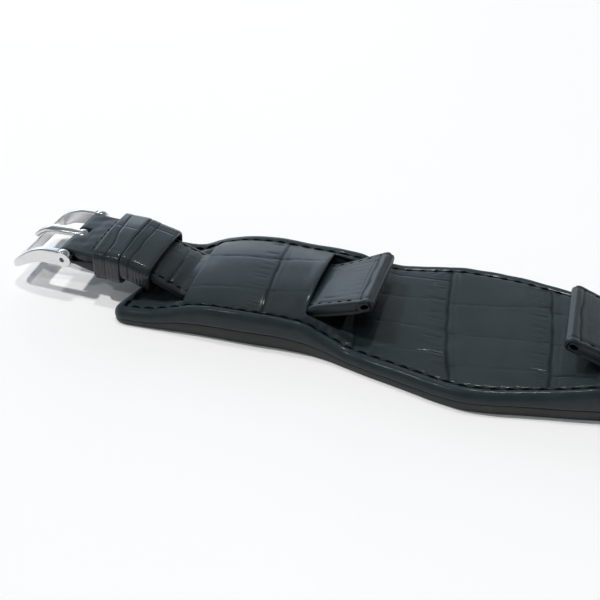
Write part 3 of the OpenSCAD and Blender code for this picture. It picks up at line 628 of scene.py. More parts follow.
def steel(name, colour, rough, brush):
    """Satin steel: fine lines brushed along the strap, faint smudges and tiny scratches."""
    tree, shader = new_material(name)
    maths = partial(math_node, tree)
    place = object_place(tree)
    brushed = noise(tree, stretched(tree, place, (300, 9000, 9000)), 1.0, 3.0)
    smudge = noise(tree, place, 260.0, 3.0)
    marks = grouped(tree, "Rubbed Marks And Sheen Streaks", {"Amount": 0.5})["Mask"]
    uneven = maths("ADD", maths("MULTIPLY", brushed, 0.16), maths("MULTIPLY", smudge, 0.08))
    uneven = maths("ADD", uneven, maths("MULTIPLY", marks, 0.2))
    wire(tree, shader, {
        "Base Color": blend(tree, smudge, opaque(colour), opaque(colour, 0.82)), "Metallic": 1.0,
        "Roughness": maths("ADD", uneven, rough - 0.12, True), "Normal": bumped(tree, brushed, 0.01, brush)})


def thread_material(colour):
    """Waxed twisted thread: slanted plies across each stitch and a soft fuzz."""
    tree, shader = new_material("Waxed Thread")
    place = object_place(tree)
    plies = add(tree, "ShaderNodeTexWave", {"Vector": place, "Scale": 900.0, "Distortion": 2.0},
                wave_type="BANDS", bands_direction="DIAGONAL").outputs["Fac"]
    fuzz = math_node(tree, "MULTIPLY", noise(tree, place, 6000.0), 0.3)
    wire(tree, shader, {
        "Base Color": blend(tree, plies, opaque(colour), opaque(colour, 2.2)), "Specular IOR Level": 0.05,
        "Roughness": math_node(tree, "ADD", fuzz, 0.65), "Normal": bumped(tree, plies, 0.05)})


def table_material(colour):
    """A white sheet of card with a faint cloud in its colour."""
    tree, shader = new_material("Table")
    cloud = noise(tree, object_place(tree), 7.0)
    wire(tree, shader, {"Base Color": blend(tree, cloud, opaque(colour), opaque(colour, 0.985)),
                        "Roughness": 0.5, "Specular IOR Level": 0.2})


def make_materials(colours):
    leather_grain_group()
    wear_and_sheen_group()
    dark, light, lining, edge, thread, metal = (tuple(colour) for colour in (
        colours.leather, colours.leather_light, colours.lining, colours.edge, colours.thread, colours.steel))

    def gained(colour, gain):
        return tuple(c * gain for c in colour)

    # Roughness, size of the grain's cells, depth of its pores and height of its relief
    leather("Alligator Leather", dark, light, 0.42, 0.5, 0.25, 0.03, wear_and_sheen=0.03, crease=True, coat=0.16)
    leather("Keeper Leather", dark, light, 0.38, 0.5, 0.25, 0.03, wear_and_sheen=0.03, crease=True, coat=0.45,
            polish=0.12)
    # The margin's stronger rubbed marks are partly painted highlight, for the light streaks along its wall
    leather("Smooth Margin Leather", gained(dark, 1.2), gained(light, 1.2), 0.42, 0.42, 0.4, 0.025,
            wear_and_sheen=0.25, coat=0.2)
    leather("Lining Leather", lining, gained(lining, 1.35), 0.62, 0.3, 0.8, 0.04, wear_and_sheen=0.15)
    leather("Painted Edge", edge, gained(edge, 1.3), 0.45, 0.9, 0.1, 0.05, wear_and_sheen=0.5)
    thread_material(thread)
    steel("Buckle Steel", metal, 0.24, 0.25)
    steel("Spring Bar Steel", gained(metal, 0.8), 0.34, 0.15)


# ---- Strap halves ----

def strap_width(half, u):
    """Half-width: a straight taper, and at the tail's end a point that falls as the 2.3rd power."""
    t = np.clip((u - (TAIL_TIP - TAIL_POINT)) / TAIL_POINT, 0, 1)
    return np.interp(u, [half.nose, TAPER_END], [LUG_HALF, END_HALF]) * (1 - 0.94 * t**2.3)


def strap_point(half, u, y, h):
    """A point at a height square to a half's underside; the near edge rides higher by the roll."""
    a = np.arctan((through(half.path, u + 0.05) - through(half.path, u - 0.05)) / 0.1)
    return pack(half.side * (u - h * np.sin(a)), y,
                through(half.path, u) + h * np.cos(a) - y * through(half.roll, u))


def crown(half, u, v):
    """Thickness: it falls from the middle's to the edge's with the square of the share v of the way out."""
    edge = through(half.edge, u)
    return edge + (through(half.mid, u) - edge) * (1 - v * v)


def strap_grain(half, u, y, inward):
    """The grain of a half, with fine cross wrinkles outside the pad, fading towards its edges."""
    x = half.side * u
    wrinkle = 0.02 * np.cos(2 * pi * (x + 0.3 * y) / 0.85 + 2.5 * wobble(x, y, 3.3, 5))
    wrinkle = wrinkle * ease((np.abs(x) - 60) / 5)
    scales = grain_relief(x, y, half.bands, half.seams, CREASE, HALF_SWELL, ripples=0.6, fine=0.5)
    return (scales + wrinkle) * ease(inward / 1.2)


def row_groove(inward):
    """Depth of the line that is pressed where a row of stitches runs."""
    return ROW_DEPTH * bell(inward - EDGE_ROW, 0.3)


def half_grid(half):
    """Places along and across a half, with the grid drawn into rings round the adjustment holes."""
    # Where there are holes the cells are square, 3 from a hole's centre to its edge and 7 to its last ring
    cell, cut, rings = 0.25, 3, 7
    first = half.nose + HEM - OVERLAP
    u = lines([first, first + 4, half.end - 1, half.end], 0.45, (0.03, 0.12, 0.3))
    inner = np.linspace(-2, 2, 13)
    if half.holes:
        low, high = min(half.holes) - 2, max(half.holes) + 2
        u = np.concatenate([u[(u < low) | (u > high)], np.arange(low, high + 0.1, cell)])
        u = np.unique(np.round(u, 4))
        inner = np.arange(-2, 2.01, cell)
    share = np.concatenate([np.linspace(0, 0.86, 18)[1:], [0.9, 0.935, 0.96, 0.98, 0.993, 1]])
    w = strap_width(half, u[:, None])
    core = np.minimum(2.0, 0.5 * w)
    y = np.concatenate([-(core + (w - core) * share[::-1]), inner / 2 * core, core + (w - core) * share], 1)
    uu = np.broadcast_to(u[:, None], y.shape)
    keep = np.ones((len(u) - 1, y.shape[1] - 1), bool)
    if half.holes:
        in_u = np.abs(between(u)[:, None] - np.array(half.holes)).min(1)[:, None] < cut * cell
        keep = ~(in_u & (np.abs((y[:-1, 1:] + y[1:, :-1]) / 2) < cut * cell))
        uu, y = pierce(uu, y, half.holes, HOLE_R, rings * cell, cut / rings)
    return uu, y, w, keep


def strap_layers(half):
    """The top leather and the lining of one half, as two sheets that share the adjustment holes. The long
    edges are turned on a small radius, and a pressed line lies where the stitches run."""
    u, y, w, keep = half_grid(half)
    inward = w - np.abs(y)
    from_hole = np.full(u.shape, 9.0)
    for at in half.holes:
        from_hole = np.minimum(from_hole, np.hypot(u - at, y) - HOLE_R)
    grain = strap_grain(half, u, y, inward)
    height = crown(half, u, np.clip(y / w, -1, 1)) + grain
    height = height - rounded(inward, EDGE_TURN) - 0.6 * rounded(from_hole, 0.35) - row_groove(inward)
    seam = np.minimum(SEAM_MOST, SEAM_SHARE * through(half.edge, u))
    points, faces, dip = thick_sheet(
        strap_point(half, u, y, height), strap_point(half, u, y, seam + 0.01 + rounded(inward, 0.15)), keep,
        shade_depths(grain))
    upper = build(f"{half.name}_upper", points, faces, half.name, "Alligator Leather", "scaled_leather", dip)
    low = rounded(inward, 0.28)
    y = y * (1 - 0.07 / np.maximum(w, 0.6))
    points, faces, _ = thick_sheet(strap_point(half, u, y, seam - 0.02), strap_point(half, u, y, low), keep)
    return upper, build(f"{half.name}_lining", points, faces, half.name, "Lining Leather", "lining_leather")


def lug_end(half):
    """The turned end of a half: a round nose and a block behind it, with the spring bar's channel through
    it. One closed line round the block shrinks onto the channel's circle at both ends and runs through it."""
    back = HEM - NOSE_R
    turn = np.radians(np.linspace(90, 270, 41))
    nose = NOSE_R * pack(-np.abs(np.cos(turn)) ** 0.62, superellipse(turn, 0.62)[1])
    low = pack(np.concatenate([np.linspace(0, back - 0.12, 10)[1:], [back - 0.03, back]]), -NOSE_R)
    rise = np.concatenate([[-NOSE_R + 0.04], np.linspace(-NOSE_R, NOSE_R, 9)[1:-1], [NOSE_R - 0.04]])
    outer = np.concatenate([nose, low, pack(back, rise), low[::-1] * [1, -1]])
    length = np.hypot(outer[:, 0], outer[:, 1])
    w = float(strap_width(half, half.nose + NOSE_R))
    # Each ring has a place across the half and a step: up to 0.5 it rounds the block's edge, from there it
    # crosses the block's side to the channel, and at 2 it lies in the channel
    r = 0.5
    bend = np.radians(np.linspace(0, 90, 7))
    corner, fall = w - r + r * np.sin(bend), r * (1 - np.cos(bend))
    middle = np.linspace(-(w - r), w - r, 60)[1:-1]
    mouth, sides = [0.75, 0.9, 1.25, 2, 2], [w, w, w, w, w - 0.06]
    across = np.concatenate([middle, corner, sides, -np.array(sides[::-1]), -corner[::-1]])[:, None]
    step = np.concatenate([0 * middle, fall, mouth, mouth[::-1], fall[::-1]])[:, None]
    bore = BORE_R - 0.15
    radius = length - (length - bore - 0.05) * np.clip(step - 0.5, 0, 1) / 0.75 - step * (step <= 0.5)
    place = outer / length[:, None] * np.where(step >= 2, bore, radius)[..., None]
    # Leather without its bar rests on itself, so the channel's mouth is a low oval
    place[..., 1] *= 1 - 0.35 * np.clip((step - 0.5) / 0.75, 0, 1)
    u, h = half.nose + NOSE_R + place[..., 0], NOSE_R + place[..., 1]
    y = np.broadcast_to(across, u.shape)
    inward = w - np.abs(y)
    h = h * np.where(place[..., 0] > 0, crown(half, u, np.clip(y / w, -1, 1)) / (2 * NOSE_R), 1)
    outside = (step < 0.6) & (place[..., 1] > -0.4)
    grain = strap_grain(half, u, y, inward)
    h = h + np.where(outside, grain * ease((place[..., 1] + 0.4) / 1.5), 0)
    h = h - np.where(outside & (place[..., 1] > 0.9), row_groove(inward), 0)
    # Under the layers that run over it the block is a little smaller
    under = ease((u - (half.nose + HEM - OVERLAP - 0.5)) / 0.4)
    points = strap_point(half, u, y * (1 - 0.006 * under), 0.06 * under + h * (1 - 0.035 * under))
    # Inside the channel the depth rises to 1, so the material paints shade in it
    build(f"{half.name}_lug_end", points.reshape(-1, 3), [grid_faces(*u.shape, True, True)], half.name,
          "Alligator Leather", "scaled_leather", np.where(outside, shade_depths(grain), np.clip(step - 0.6, 0, 1)))


def buckle_loop_piece():
    """The top leather turned round the spring bar and back under. A sheet is carried along a line that runs
    over the bar, round it on a circle and back to the flap's end, and the tongue's notch is left out."""
    half = BUCKLE_HALF
    turn = np.radians(np.linspace(90, -90, 25))
    r = LOOP_R - LOOP_SKIN
    over = np.linspace(half.end + 0.4, BAR_AT, 18)[:-1]
    over = np.concatenate([half.end + np.array([0, 0.03, 0.12]), over])
    deep = 1.05 - 0.5 * ease((over - 88.3) / 2.6)
    top = through(half.path, over) + crown(half, over, 0.4)
    start = pack(over, top + (BAR_Z + LOOP_R - top) * ease((over - 88.5) / 3) - deep)
    bend = pack(BAR_AT + r * np.cos(turn), BAR_Z + r * np.sin(turn))
    back = np.linspace(BAR_AT - 0.4, FLAP_END, 34)
    under = pack(back, through(half.path, back) - 1.4)
    under[:, 1] += (BAR_Z - r - under[:, 1]) * ease((back - 87) / 4.8)
    line = np.concatenate([start, bend, under])
    thick = np.concatenate([deep, np.full(len(bend), LOOP_SKIN), LOOP_SKIN + 0.8 * ease((91 - back) / 5)])
    thick[-10:] *= np.linspace(1, 0.4, 10)
    forward = unit(np.gradient(line, axis=0))
    out = pack(-forward[:, 1], forward[:, 0])
    fine = np.array([0, 0.04, 0.12, 0.25, 0.42])
    y = np.concatenate([LOOP_HALF - fine, NOTCH_HALF + fine, np.linspace(NOTCH_HALF, LOOP_HALF, 20),
                        np.linspace(0, NOTCH_HALF, 7)])
    y = np.unique(np.round(np.concatenate([-y, y]), 4))[None]
    run = lengths(line)[:, None]
    first = run[np.searchsorted(over, NOTCH_FROM)]
    last = run[len(start) + len(bend) + np.searchsorted(-back, -NOTCH_TO)]
    in_notch = (between(run) > first) & (between(run) < last) & (np.abs(between(y[0])) < NOTCH_HALF)
    to_notch = np.maximum(np.maximum(first - run, run - last), np.abs(y) - NOTCH_HALF)
    edge = rounded(np.minimum(LOOP_HALF - np.abs(y), np.maximum(to_notch, 0)), 0.42)
    # Where it leaves the half the sheet takes the half's crown over, and loses it on the way to the bar
    part = np.concatenate([1 - ease((over - half.end) / 4), np.zeros(len(bend) + len(under))])[:, None]
    crest = np.minimum(line[:, :1], BAR_AT)
    lift = part * (crown(half, crest, y / END_HALF) - crown(half, crest, 0.4))
    relief = 0.05 * wobble(run, y, 4.4, 5) * ease((LOOP_HALF - np.abs(y)) / 1.5)

    def surface(height):
        at = line[:, None] + out[:, None] * height[..., None]
        return pack(-at[..., 0], y, at[..., 1] + lift - y * through(half.roll, at[..., 0]))

    body = thick[:, None] * np.ones_like(y)
    sheet = thick_sheet(surface(body - 0.85 * edge + relief), surface(-body + 0.25 * edge), ~in_notch)
    build("buckle_half_loop", *sheet[:2], "buckle_half", "Alligator Leather", "scaled_leather", sheet[2])


# ---- Stitches ----

def stitches(name, body, centre, along, up, length, r):
    """Rows of saddle stitches: each is a short tube that rises from one needle hole and dives into the next,
    its height a half sine wave, turned a little off the line."""
    t = np.linspace(-1, 1, 9)[:, None]
    arch = np.cos(0.5 * pi * t)
    side = np.cross(up, along)[:, None]
    path = (centre[:, None] + along[:, None] * (0.5 * length * t) + side * (0.5 * length * SLANT * t)
            + up[:, None] * (r * 1.5 * arch - r * 1.05))
    thick = np.broadcast_to((r * (0.72 + 0.28 * arch**0.5))[:, 0], path.shape[:2])
    points, faces = tube(path, thick * 1.05, thick, side, 8, 1.0)
    return build(name, points, faces, body, "Waxed Thread", "thread", weld=False, close=True)


def spread(line, pitch):
    """Places a pitch apart along a line of points, with the direction at each."""
    start, end = 0.5, lengths(line)[-1]
    count = int((end - start) / pitch)
    at = start + pitch * (np.arange(count) + 0.5) * (end - start) / (count * pitch)
    return pick(line, at), unit(pick(line, at + 0.2) - pick(line, at - 0.2))


def stitch_line():
    """The pad's row of stitches, as one closed line just outside the panel."""
    line = pad_ring(MARGIN - 0.02)
    line = np.column_stack([line, level(*line.T) - 0.12])
    return np.concatenate([line, line[:1]])


def needle_holes(sizes):
    """Plan places of the holes between the pad's stitches."""
    centre, _ = spread(stitch_line(), sizes.stitch_pitch)
    return (centre + np.roll(centre, -1, 0))[:, :2] / 2


def pad_stitches(sizes):
    """One long row beside the panel that closes round both ends of the pad."""
    centre, along = spread(stitch_line(), sizes.stitch_pitch)
    up = unit(np.array([0.0, 0.0, 1.0]) - along[:, 2:] * along)
    stitches("pad_stitches", "cuff", centre, along, up, sizes.stitch_pitch * STITCH_SHARE,
             sizes.thread_radius)


def strap_stitches(half, sizes):
    """Two rows along the edges of a half, finer than the pad's, and a row across it where it has one."""
    pitch = sizes.stitch_pitch * FINE_PITCH

    def row(u, y, sunk, pitch):
        return spread(strap_point(half, u, y, crown(half, u, y / strap_width(half, u)) - sunk), pitch)

    u = np.linspace(half.nose + 3, half.row_end, 400)
    rows = [row(u, sign * (strap_width(half, u) - EDGE_ROW), 0.1, pitch) for sign in (-1, 1)]
    if half.cross_row:
        y = np.linspace(-6.6, 6.6, 100)
        rows.append(row(half.cross_row + 0.25 * wobble(y, 0, 2, 3), y, 0.05, pitch * 0.8))
    centre, along = (np.concatenate(part) for part in zip(*rows))
    sideways = np.where(np.abs(along[:, 1:2]) > 0.7, [[-1.0, 0.0, 0.0]], [[0.0, 1.0, 0.0]])
    up = np.cross(along, sideways)
    up *= np.sign(up[:, 2:3])
    stitches(f"{half.name}_stitches", half.name, centre, along, unit(up), pitch * STITCH_SHARE,
             sizes.thread_radius * FINE_THREAD)


# ---- Panel and pad ----

def panel_top(x, y):
    """Height of the panel: level with its stitch line under the watch, and in each wing an arch over the
    strap that falls from its crown as about the 2.6th power of the distance across."""
    u = np.abs(x)
    edge = half_width(x) - MARGIN
    share = np.clip(np.abs(y) / edge, 0, 1.05)
    base = level(x, y) + 0.05
    ridge, power = through(RIDGE, u), through(ARCH_POWER, u)
    wing = ease((u - 27.5) / 7.4)
    arch = (ridge - base) * (1 - share**power) * wing
    flat = 0.3 * (1 - share**4) * (1 - wing)
    # Beside the near end of a slot the strap that passes through lifts the panel to the slot's lip
    at_slot = level(x, -SLOT_HALF + 0 * y)
    at_slot = at_slot + (ridge - at_slot) * (1 - (SLOT_HALF / edge) ** power) * wing
    out = ease((edge + y) / (edge - SLOT_HALF)) * ease((-y - 9.3) / 1.0)
    lift = np.maximum(through(SLOT_LIP, u) - at_slot, 0) * ease((37 - u) / 2.4) * out
    # A half that leaves its slot presses the panel down there, the tail half more than the other
    pressed = np.where(x > 0, 0.95, 0.85) * ease((u - 21.5) / 5) * ease((30 - u) / 2)
    return base + arch + flat + lift - pressed * ease((10.8 - np.abs(y)) / 2.2)


def panel_piece(sizes):
    """The panel: a sheet with the two slots left out and every edge rounded over. It is thinner at its edges
    and at the slots' outer lips, and each needle hole pulls it down by a bell of its distance."""
    x = lines([-MOUTH, -SLOT_OUT, -SLOT_IN, SLOT_IN, SLOT_OUT, MOUTH], 0.34)
    inner = np.concatenate([np.linspace(0, 1, 30)[:-1], [0.985, 1]])
    outer = np.concatenate([[0.02, 0.05], np.linspace(0, 1, 20)[2:-1], [0.972, 0.99, 1]])
    column = x[:, None]
    near_edge = half_width(column) - MARGIN
    far_edge = half_width(column) + through(FAR_BEND, column) - MARGIN + 0.2

    def outward(slot, edge):
        return np.concatenate([inner * slot + 0 * column, slot + outer * (edge - slot)], 1)

    y = np.concatenate([-outward(SLOT_HALF, near_edge)[:, ::-1], outward(SLOT_FAR, far_edge)[:, 1:]], 1)
    x = np.broadcast_to(column, y.shape)
    u = np.abs(x)
    cell_u, cell_y = np.abs(between(x[:, 1:])), (y[1:, 1:] + y[:-1, :-1]) / 2
    in_slot = (cell_u > SLOT_IN) & (cell_u < SLOT_OUT) & (cell_y > -SLOT_HALF) & (cell_y < SLOT_FAR)
    past = np.where(y < 0, -y - SLOT_HALF, y - SLOT_FAR)
    to_slot = np.maximum(np.maximum(SLOT_IN - u, u - SLOT_OUT), past)
    to_edge = np.minimum(np.where(y < 0, y + near_edge, far_edge - y), MOUTH - u)
    d = np.minimum(to_edge, np.maximum(to_slot, 0))
    relief = grain_relief(x, y, BANDS, SEAMS, CREASE, PANEL_SWELL)
    fade = ease(d / 0.9)
    top = panel_top(x, y) + (relief - 0.08) * fade - rounded(d, EDGE_TURN) * 0.7
    rim = to_edge < 1.5
    from_hole = nearest(pack(x[rim], y[rim]), needle_holes(sizes))
    top[rim] -= np.where(y[rim] < 0, *PANEL_PULL) * bell(from_hole, 0.5)
    # Leather stretched at the slots' corners shows short pulls towards the stitches
    corner = bell(u - 31, 4) * ease((np.abs(y) - 10.2) / 0.6)
    top = top + 0.1 * corner * np.sin(x * 3.4 + 2 * wobble(x, y, 4, 6)) * fade
    thick = PANEL_THICK - EDGE_THIN * rounded(d, EDGE_TURN) / EDGE_TURN - LIP_THIN * bell(u - 35.6, 1.6)
    points, faces, dip = thick_sheet(pack(x, y, top), pack(x, y, top - thick), ~in_slot, shade_depths(relief - 0.03))
    return build("top_panel_leather", points, faces, "cuff", "Alligator Leather", "scaled_leather", dip)


def pad_pieces(sizes):
    """The lining with its painted edge, and the facing that rolls over the pad's edge into the stitch line.
    The side is a quarter ellipse, and each needle hole pulls the leather down by a bell of its distance."""
    def flat(value):
        return lambda p: np.full(len(p), value)

    def top(p):
        return level(*p.T) + 0.07

    def bed(p):
        return bed_height(*p.T)

    def rim(p):
        return np.minimum(through(LINING_EDGE, p[:, 0]), level(*p.T) - 1.1)

    def pulled(p):
        return np.where(p[:, 1] < 0, *FACING_PULL) * bell(nearest(p, holes), 0.55)

    def side_step(a):
        c, s = 1 - cos(a), sin(a)
        return (SIDE_IN * c, lambda p: rim(p) + 0.08 + (top(p) - rim(p) - 0.08) * s
                + 0.06 * wobble(p[:, 0], p[:, 1], 2.2, 9) * s - pulled(p) * c)

    def roll_step(a):
        return SIDE_IN + ROLL_IN * sin(a), lambda p: top(p) - ROLL_DROP * (1 - cos(a)) - pulled(p)

    lining = [
        (0.55, flat(0.0)), (0.3, flat(0.03)), (0.16, flat(0.12)), (0.1, flat(0.3)),
        (0.08, lambda p: 0.35 + 0.4 * (rim(p) - 0.35)), (0.1, lambda p: rim(p) - 0.2),
        (0.2, lambda p: rim(p) - 0.03), (0.6, rim), (1.3, lambda p: rim(p) - 0.02), (1.9, flat(LINING_TOP)),
    ]
    points, faces = ring_surface(lining, flat(0.0), flat(LINING_TOP))
    low = build("pad_lining_leather", points, faces, "cuff", "Painted Edge", "lining_leather")
    # The underside is bare lining, and the rest shows only as the painted edge
    low.data.materials.append(finish("Lining Leather"))
    centres = np.zeros(len(low.data.polygons) * 3)
    low.data.polygons.foreach_get("center", centres)
    low.data.polygons.foreach_set("material_index", (centres[2::3] < 0.02 * MM).astype(int))

    holes = needle_holes(sizes)
    facing = [
        (2.2, flat(FACING_UNDER)), (1.4, lambda p: rim(p) + 0.02), (0.25, lambda p: rim(p) + 0.02),
        *(side_step(radians(a)) for a in (2, 9, 18, 28, 38, 48, 58, 68, 78, 90)),
        *(roll_step(radians(a)) for a in (22, 45, 68, 90)),
        (2.55, lambda p: top(p) - ROLL_DROP), (2.9, lambda p: np.minimum(bed(p), top(p) - 0.3)),
    ]
    points, faces = ring_surface(facing, flat(FACING_UNDER), bed, 16)
    high = build("pad_facing_leather", points, faces, "cuff", "Smooth Margin Leather", "smooth_leather")
    return low, high


# ---- Keepers ----

def keeper_line(half, low, high, r, steps):
    """A rectangle with round corners and a crowned top, seen along the strap, as evenly spaced points."""
    def corner(y, z, first):
        turn = np.radians(np.linspace(first, first + 90, 12))
        return pack(y + r * np.cos(turn), z + r * np.sin(turn))

    side = half - r
    y = np.linspace(side, -side, 40)[1:-1]
    loop = np.concatenate([
        corner(side, high - r, 0), pack(y, high + 0.45 * (1 - (y / side) ** 2)), corner(-side, high - r, 90),
        corner(-side, low + r, 180), pack(-y, low), corner(side, low + r, 270)])
    loop = np.concatenate([loop, loop[:1]])
    return pick(loop, np.linspace(0, lengths(loop)[-1], steps, endpoint=False))


def keeper_pieces(keeper):
    """A keeper: a band of leather over a thin lining. Its section is a flat rounded strip with creases
    pressed into the outside."""
    at, tilt = keeper.at, radians(keeper.tilt)
    roll = float(through(BUCKLE_HALF.roll, at))
    base = float(through(BUCKLE_HALF.path, at))
    half = float(strap_width(BUCKLE_HALF, at - keeper.wide)) + 0.14
    made = []
    for part, inner, thick, width, material, slot in (
            ("leather", 0.45, 0.65, keeper.wide, "Keeper Leather", "scaled_leather"),
            ("lining", 0.0, 0.4, keeper.wide - 0.12, "Lining Leather", "lining_leather")):
        inside, outside = (keeper_line(half + out, keeper.low - out, keeper.high + out, 1.1 + out, 260)
                           for out in (inner, inner + thick))
        # The section from the near side over the outside to the far side and back inside: its place along the
        # strap and its share of the thickness
        r = min(0.22, thick / 2)
        flat = width - r
        turn = np.radians(np.linspace(0, 90, 5))[1:]
        fall = 1 - r / thick * (1 - np.cos(turn))
        along = np.concatenate([
            np.linspace(-flat, flat, 34), flat + r * np.sin(turn), [width, flat + r * 0.7],
            np.linspace(flat, -flat, 6), [-width + r * 0.3, -width], -flat - r * np.sin(turn[::-1])])
        rise = np.concatenate([np.ones(34), fall, [0.2, 0.03], np.zeros(6), [0.03, 0.2], fall[::-1]])
        profile = inside[:, None] + (outside - inside)[:, None] * rise[:, None]
        dip = None
        x = np.broadcast_to(along, profile.shape[:2])
        if part == "leather":
            y, z = profile[..., 0], profile[..., 1]
            past = np.abs(y) - half
            shape = grain_relief(x, y, keeper.bands, keeper.seams, 0.26, 0.1, ripples=0, fine=0.5)
            # Fine wrinkles on the sides and round the corners
            wave = np.cos(2 * pi * x / 0.8 + 2 * wobble(x, z, 2.7, 4))
            shape = shape - 0.045 * ease((past - 0.4) / 0.5) * wave
            wave = np.cos(2 * pi * x / 0.62 + 3 * wobble(x, y, 5.2, 3))
            shape = shape - 0.04 * bell(past, 0.8) * wave
            relief = shape * (rise > 0.5) * ease((keeper.wide - 0.1 - np.abs(x)) / 0.5)
            profile = profile + unit(outside - inside)[:, None] * (relief - 0.05)[..., None]
            dip = shade_depths(relief)
        y, h = profile[..., 0], profile[..., 1]
        points = pack(-(at + x * cos(tilt) - h * sin(radians(keeper.lean))), y,
                      base + x * sin(tilt) + h * cos(tilt) - y * roll).reshape(-1, 3)
        faces = [grid_faces(*x.shape, True, True)]
        made.append(build(f"{keeper.name}_{part}_band", points, faces, keeper.body, material, slot, dip))
    return made


# ---- Buckle ----

def buckle_place(u, y, z):
    """A point of the frame; its near side hangs higher by the roll."""
    return pack(-u, y, z - y * BUCKLE_ROLL)


def frame_lines():
    """Inner and outer line of the frame's U in plan, from the near eye round the front bar to the far eye."""
    front_in, front_out = BAR_AT + 0.75 * BUCKLE_REACH, BAR_AT + BUCKLE_REACH
    r_in, r_out = 1, 2
    straight = np.linspace(BAR_AT + 0.8, front_in - r_in, 34)
    k = np.linspace(0, 1, 16)[1:]
    turn = k * pi / 2
    # The outer line runs on straight for a lead before it bends, at the same pace as the inner one turns
    lead = front_out - r_out - (front_in - r_in)
    way = k * (lead + pi * r_out / 2)
    bend = np.clip((way - lead) / r_out, 0, None)

    def corner(front, side, r, angle):
        return pack(front - r + r * np.sin(angle), side - r + r * np.cos(angle))

    arc_in = corner(front_in, BUCKLE_INNER, r_in, turn)
    arc_out = np.where((way < lead)[:, None], pack(front_in - r_in + way, BUCKLE_OUTER),
                       corner(front_out, BUCKLE_OUTER, r_out, bend))
    share = np.linspace(1, 0, 14)[1:]
    for front, side, r, arc in ((front_in, BUCKLE_INNER, r_in, arc_in),
                                (front_out, BUCKLE_OUTER, r_out, arc_out)):
        line = np.concatenate([pack(straight, side), arc, pack(front, share * (side - r))])
        yield np.concatenate([line * [1, -1], line[-2::-1]])


def buckle_frame_piece():
    """The frame: a rounded section carried along a U in plan, up one side, across the front and down the
    other. Its height comes from the side profile, and a round eye for the spring bar ends each side."""
    inner, outer = frame_lines()
    span = np.linalg.norm(outer - inner, axis=1)[:, None]
    # Round the section from its inner top edge: the side it lies on and how far its bevel keeps it from there
    a = np.radians([0, 22, 45, 68, 90])
    slope, none = np.linspace(-1, 1, 9)[1:-1], np.zeros(7)
    cross = np.concatenate([-np.ones(5), slope, np.ones(17), -slope, -np.ones(12)])
    rise = np.roll(cross, -12)
    away_across, away_up = (
        np.where(np.abs(way) < 1, 1, np.concatenate([fall, none, fall[::-1], none] * 2))
        for way, fall in ((cross, 1 - np.cos(a)), (rise, 1 - np.sin(a))))
    share = (0.5 + cross * (span / 2 - FRAME_R * away_across) / span)[..., None]
    plan = inner[:, None] * (1 - share) + outer[:, None] * share
    reach = (plan[..., 0] - BAR_AT) / BUCKLE_REACH
    top, low = through(BUCKLE_TOP, reach), through(BUCKLE_UNDER, reach)
    half = (top - low) / 2
    z = rise * (half - np.minimum(FRAME_R, 0.8 * half) * away_up)
    points = [buckle_place(plan[..., 0], plan[..., 1], BAR_Z + (top + low) / 2 + z).reshape(-1, 3)]
    faces = [grid_faces(*reach.shape, wrap_cols=True)]
    # Eyes: a rounded rectangle turned about the spring bar's axis
    turn = circle(64)[:, None]
    bevel = np.radians([0, 30, 60, 90])
    radius = np.concatenate([EYE_R - EYE_R_EDGE * (1 - np.cos(bevel)), [1.2],
                             EYE_BORE + EYE_BORE_EDGE * (1 - np.cos(bevel[::-1]))])
    depth = np.concatenate([EYE_HALF - EYE_R_EDGE * (1 - np.sin(bevel)), [EYE_HALF],
                            EYE_HALF - EYE_BORE_EDGE * (1 - np.sin(bevel[::-1]))])
    radius, depth = np.concatenate([radius, radius[::-1]]), np.concatenate([depth, -depth[::-1]])
    for sign in (-1, 1):
        middle = sign * ((BUCKLE_INNER + BUCKLE_OUTER) / 2 + 0.02)
        eye = buckle_place(BAR_AT + radius * np.cos(turn), middle + depth, BAR_Z + radius * np.sin(turn))
        faces.append(grid_faces(*eye.shape[:2], True, True, sum(len(part) for part in points)))
        points.append(eye.reshape(-1, 3))
    return build("buckle_frame_steel", np.concatenate(points), faces, "buckle", "Buckle Steel",
                 "buckle_steel", close=True)


def tongue_piece():
    """The tongue: a bowed bar of oval section, wide in the middle, on a ring round the spring bar."""
    u = np.linspace(0, TONGUE_END, 46)
    thick, half = np.interp(u, *TONGUE_THICK) / 2, through(TONGUE_HALF, u)
    thick[-2:] = thick[-2] * 0.75, 0.1
    half[-2:] = half[-2] * 0.8, 0.1
    middle = through(TONGUE_UNDER, u) + through(TONGUE_MIDDLE, u)
    path = pack(-(BAR_AT + u * BUCKLE_REACH), 0, BAR_Z + middle)[None]
    points, faces = tube(path, half[None], thick[None], np.array([0.0, 1.0, 0.0]), 24, 0.7)
    around = circle(48)[:, None]
    cy, cr = superellipse(circle(20), 0.5)
    radius = RING_R + RING_THICK * cr
    ring = pack(-BAR_AT + radius * np.cos(around), RING_HALF * cy, BAR_Z + radius * np.sin(around))
    faces.append(grid_faces(*ring.shape[:2], True, True, len(points)))
    return build("buckle_tongue_steel", np.concatenate([points, ring.reshape(-1, 3)]), faces, "tongue",
                 "Buckle Steel", "buckle_steel", close=True)


# ---- Stage ----

def turned(right, up, forward, place):
    """The matrix of a thing at a place whose view runs forward."""
    columns = np.column_stack([right, up, -forward, place])
    return Matrix([*columns.tolist(), [0, 0, 0, 1]])


def facing_matrix(forward, place):
    """A matrix that looks along a direction from a place, held level."""
    forward = unit(np.array(forward, float))
    right = unit(np.cross(forward, [0, 0, 1]))
    return turned(right, np.cross(right, forward), forward, place)


def place_table(scene):
    x, y = np.meshgrid([-3.0, 3.0], [-3.0, 3.0], indexing="ij")
    mesh = bpy.data.meshes.new("table")
    mesh.from_pydata(pack(x, y, -0.02 * MM).reshape(-1, 3).tolist(), [], [[0, 2, 3, 1]])
    mesh.materials.append(finish("Table"))
    table = bpy.data.objects.new("table", mesh)
    scene.collection.objects.link(table)


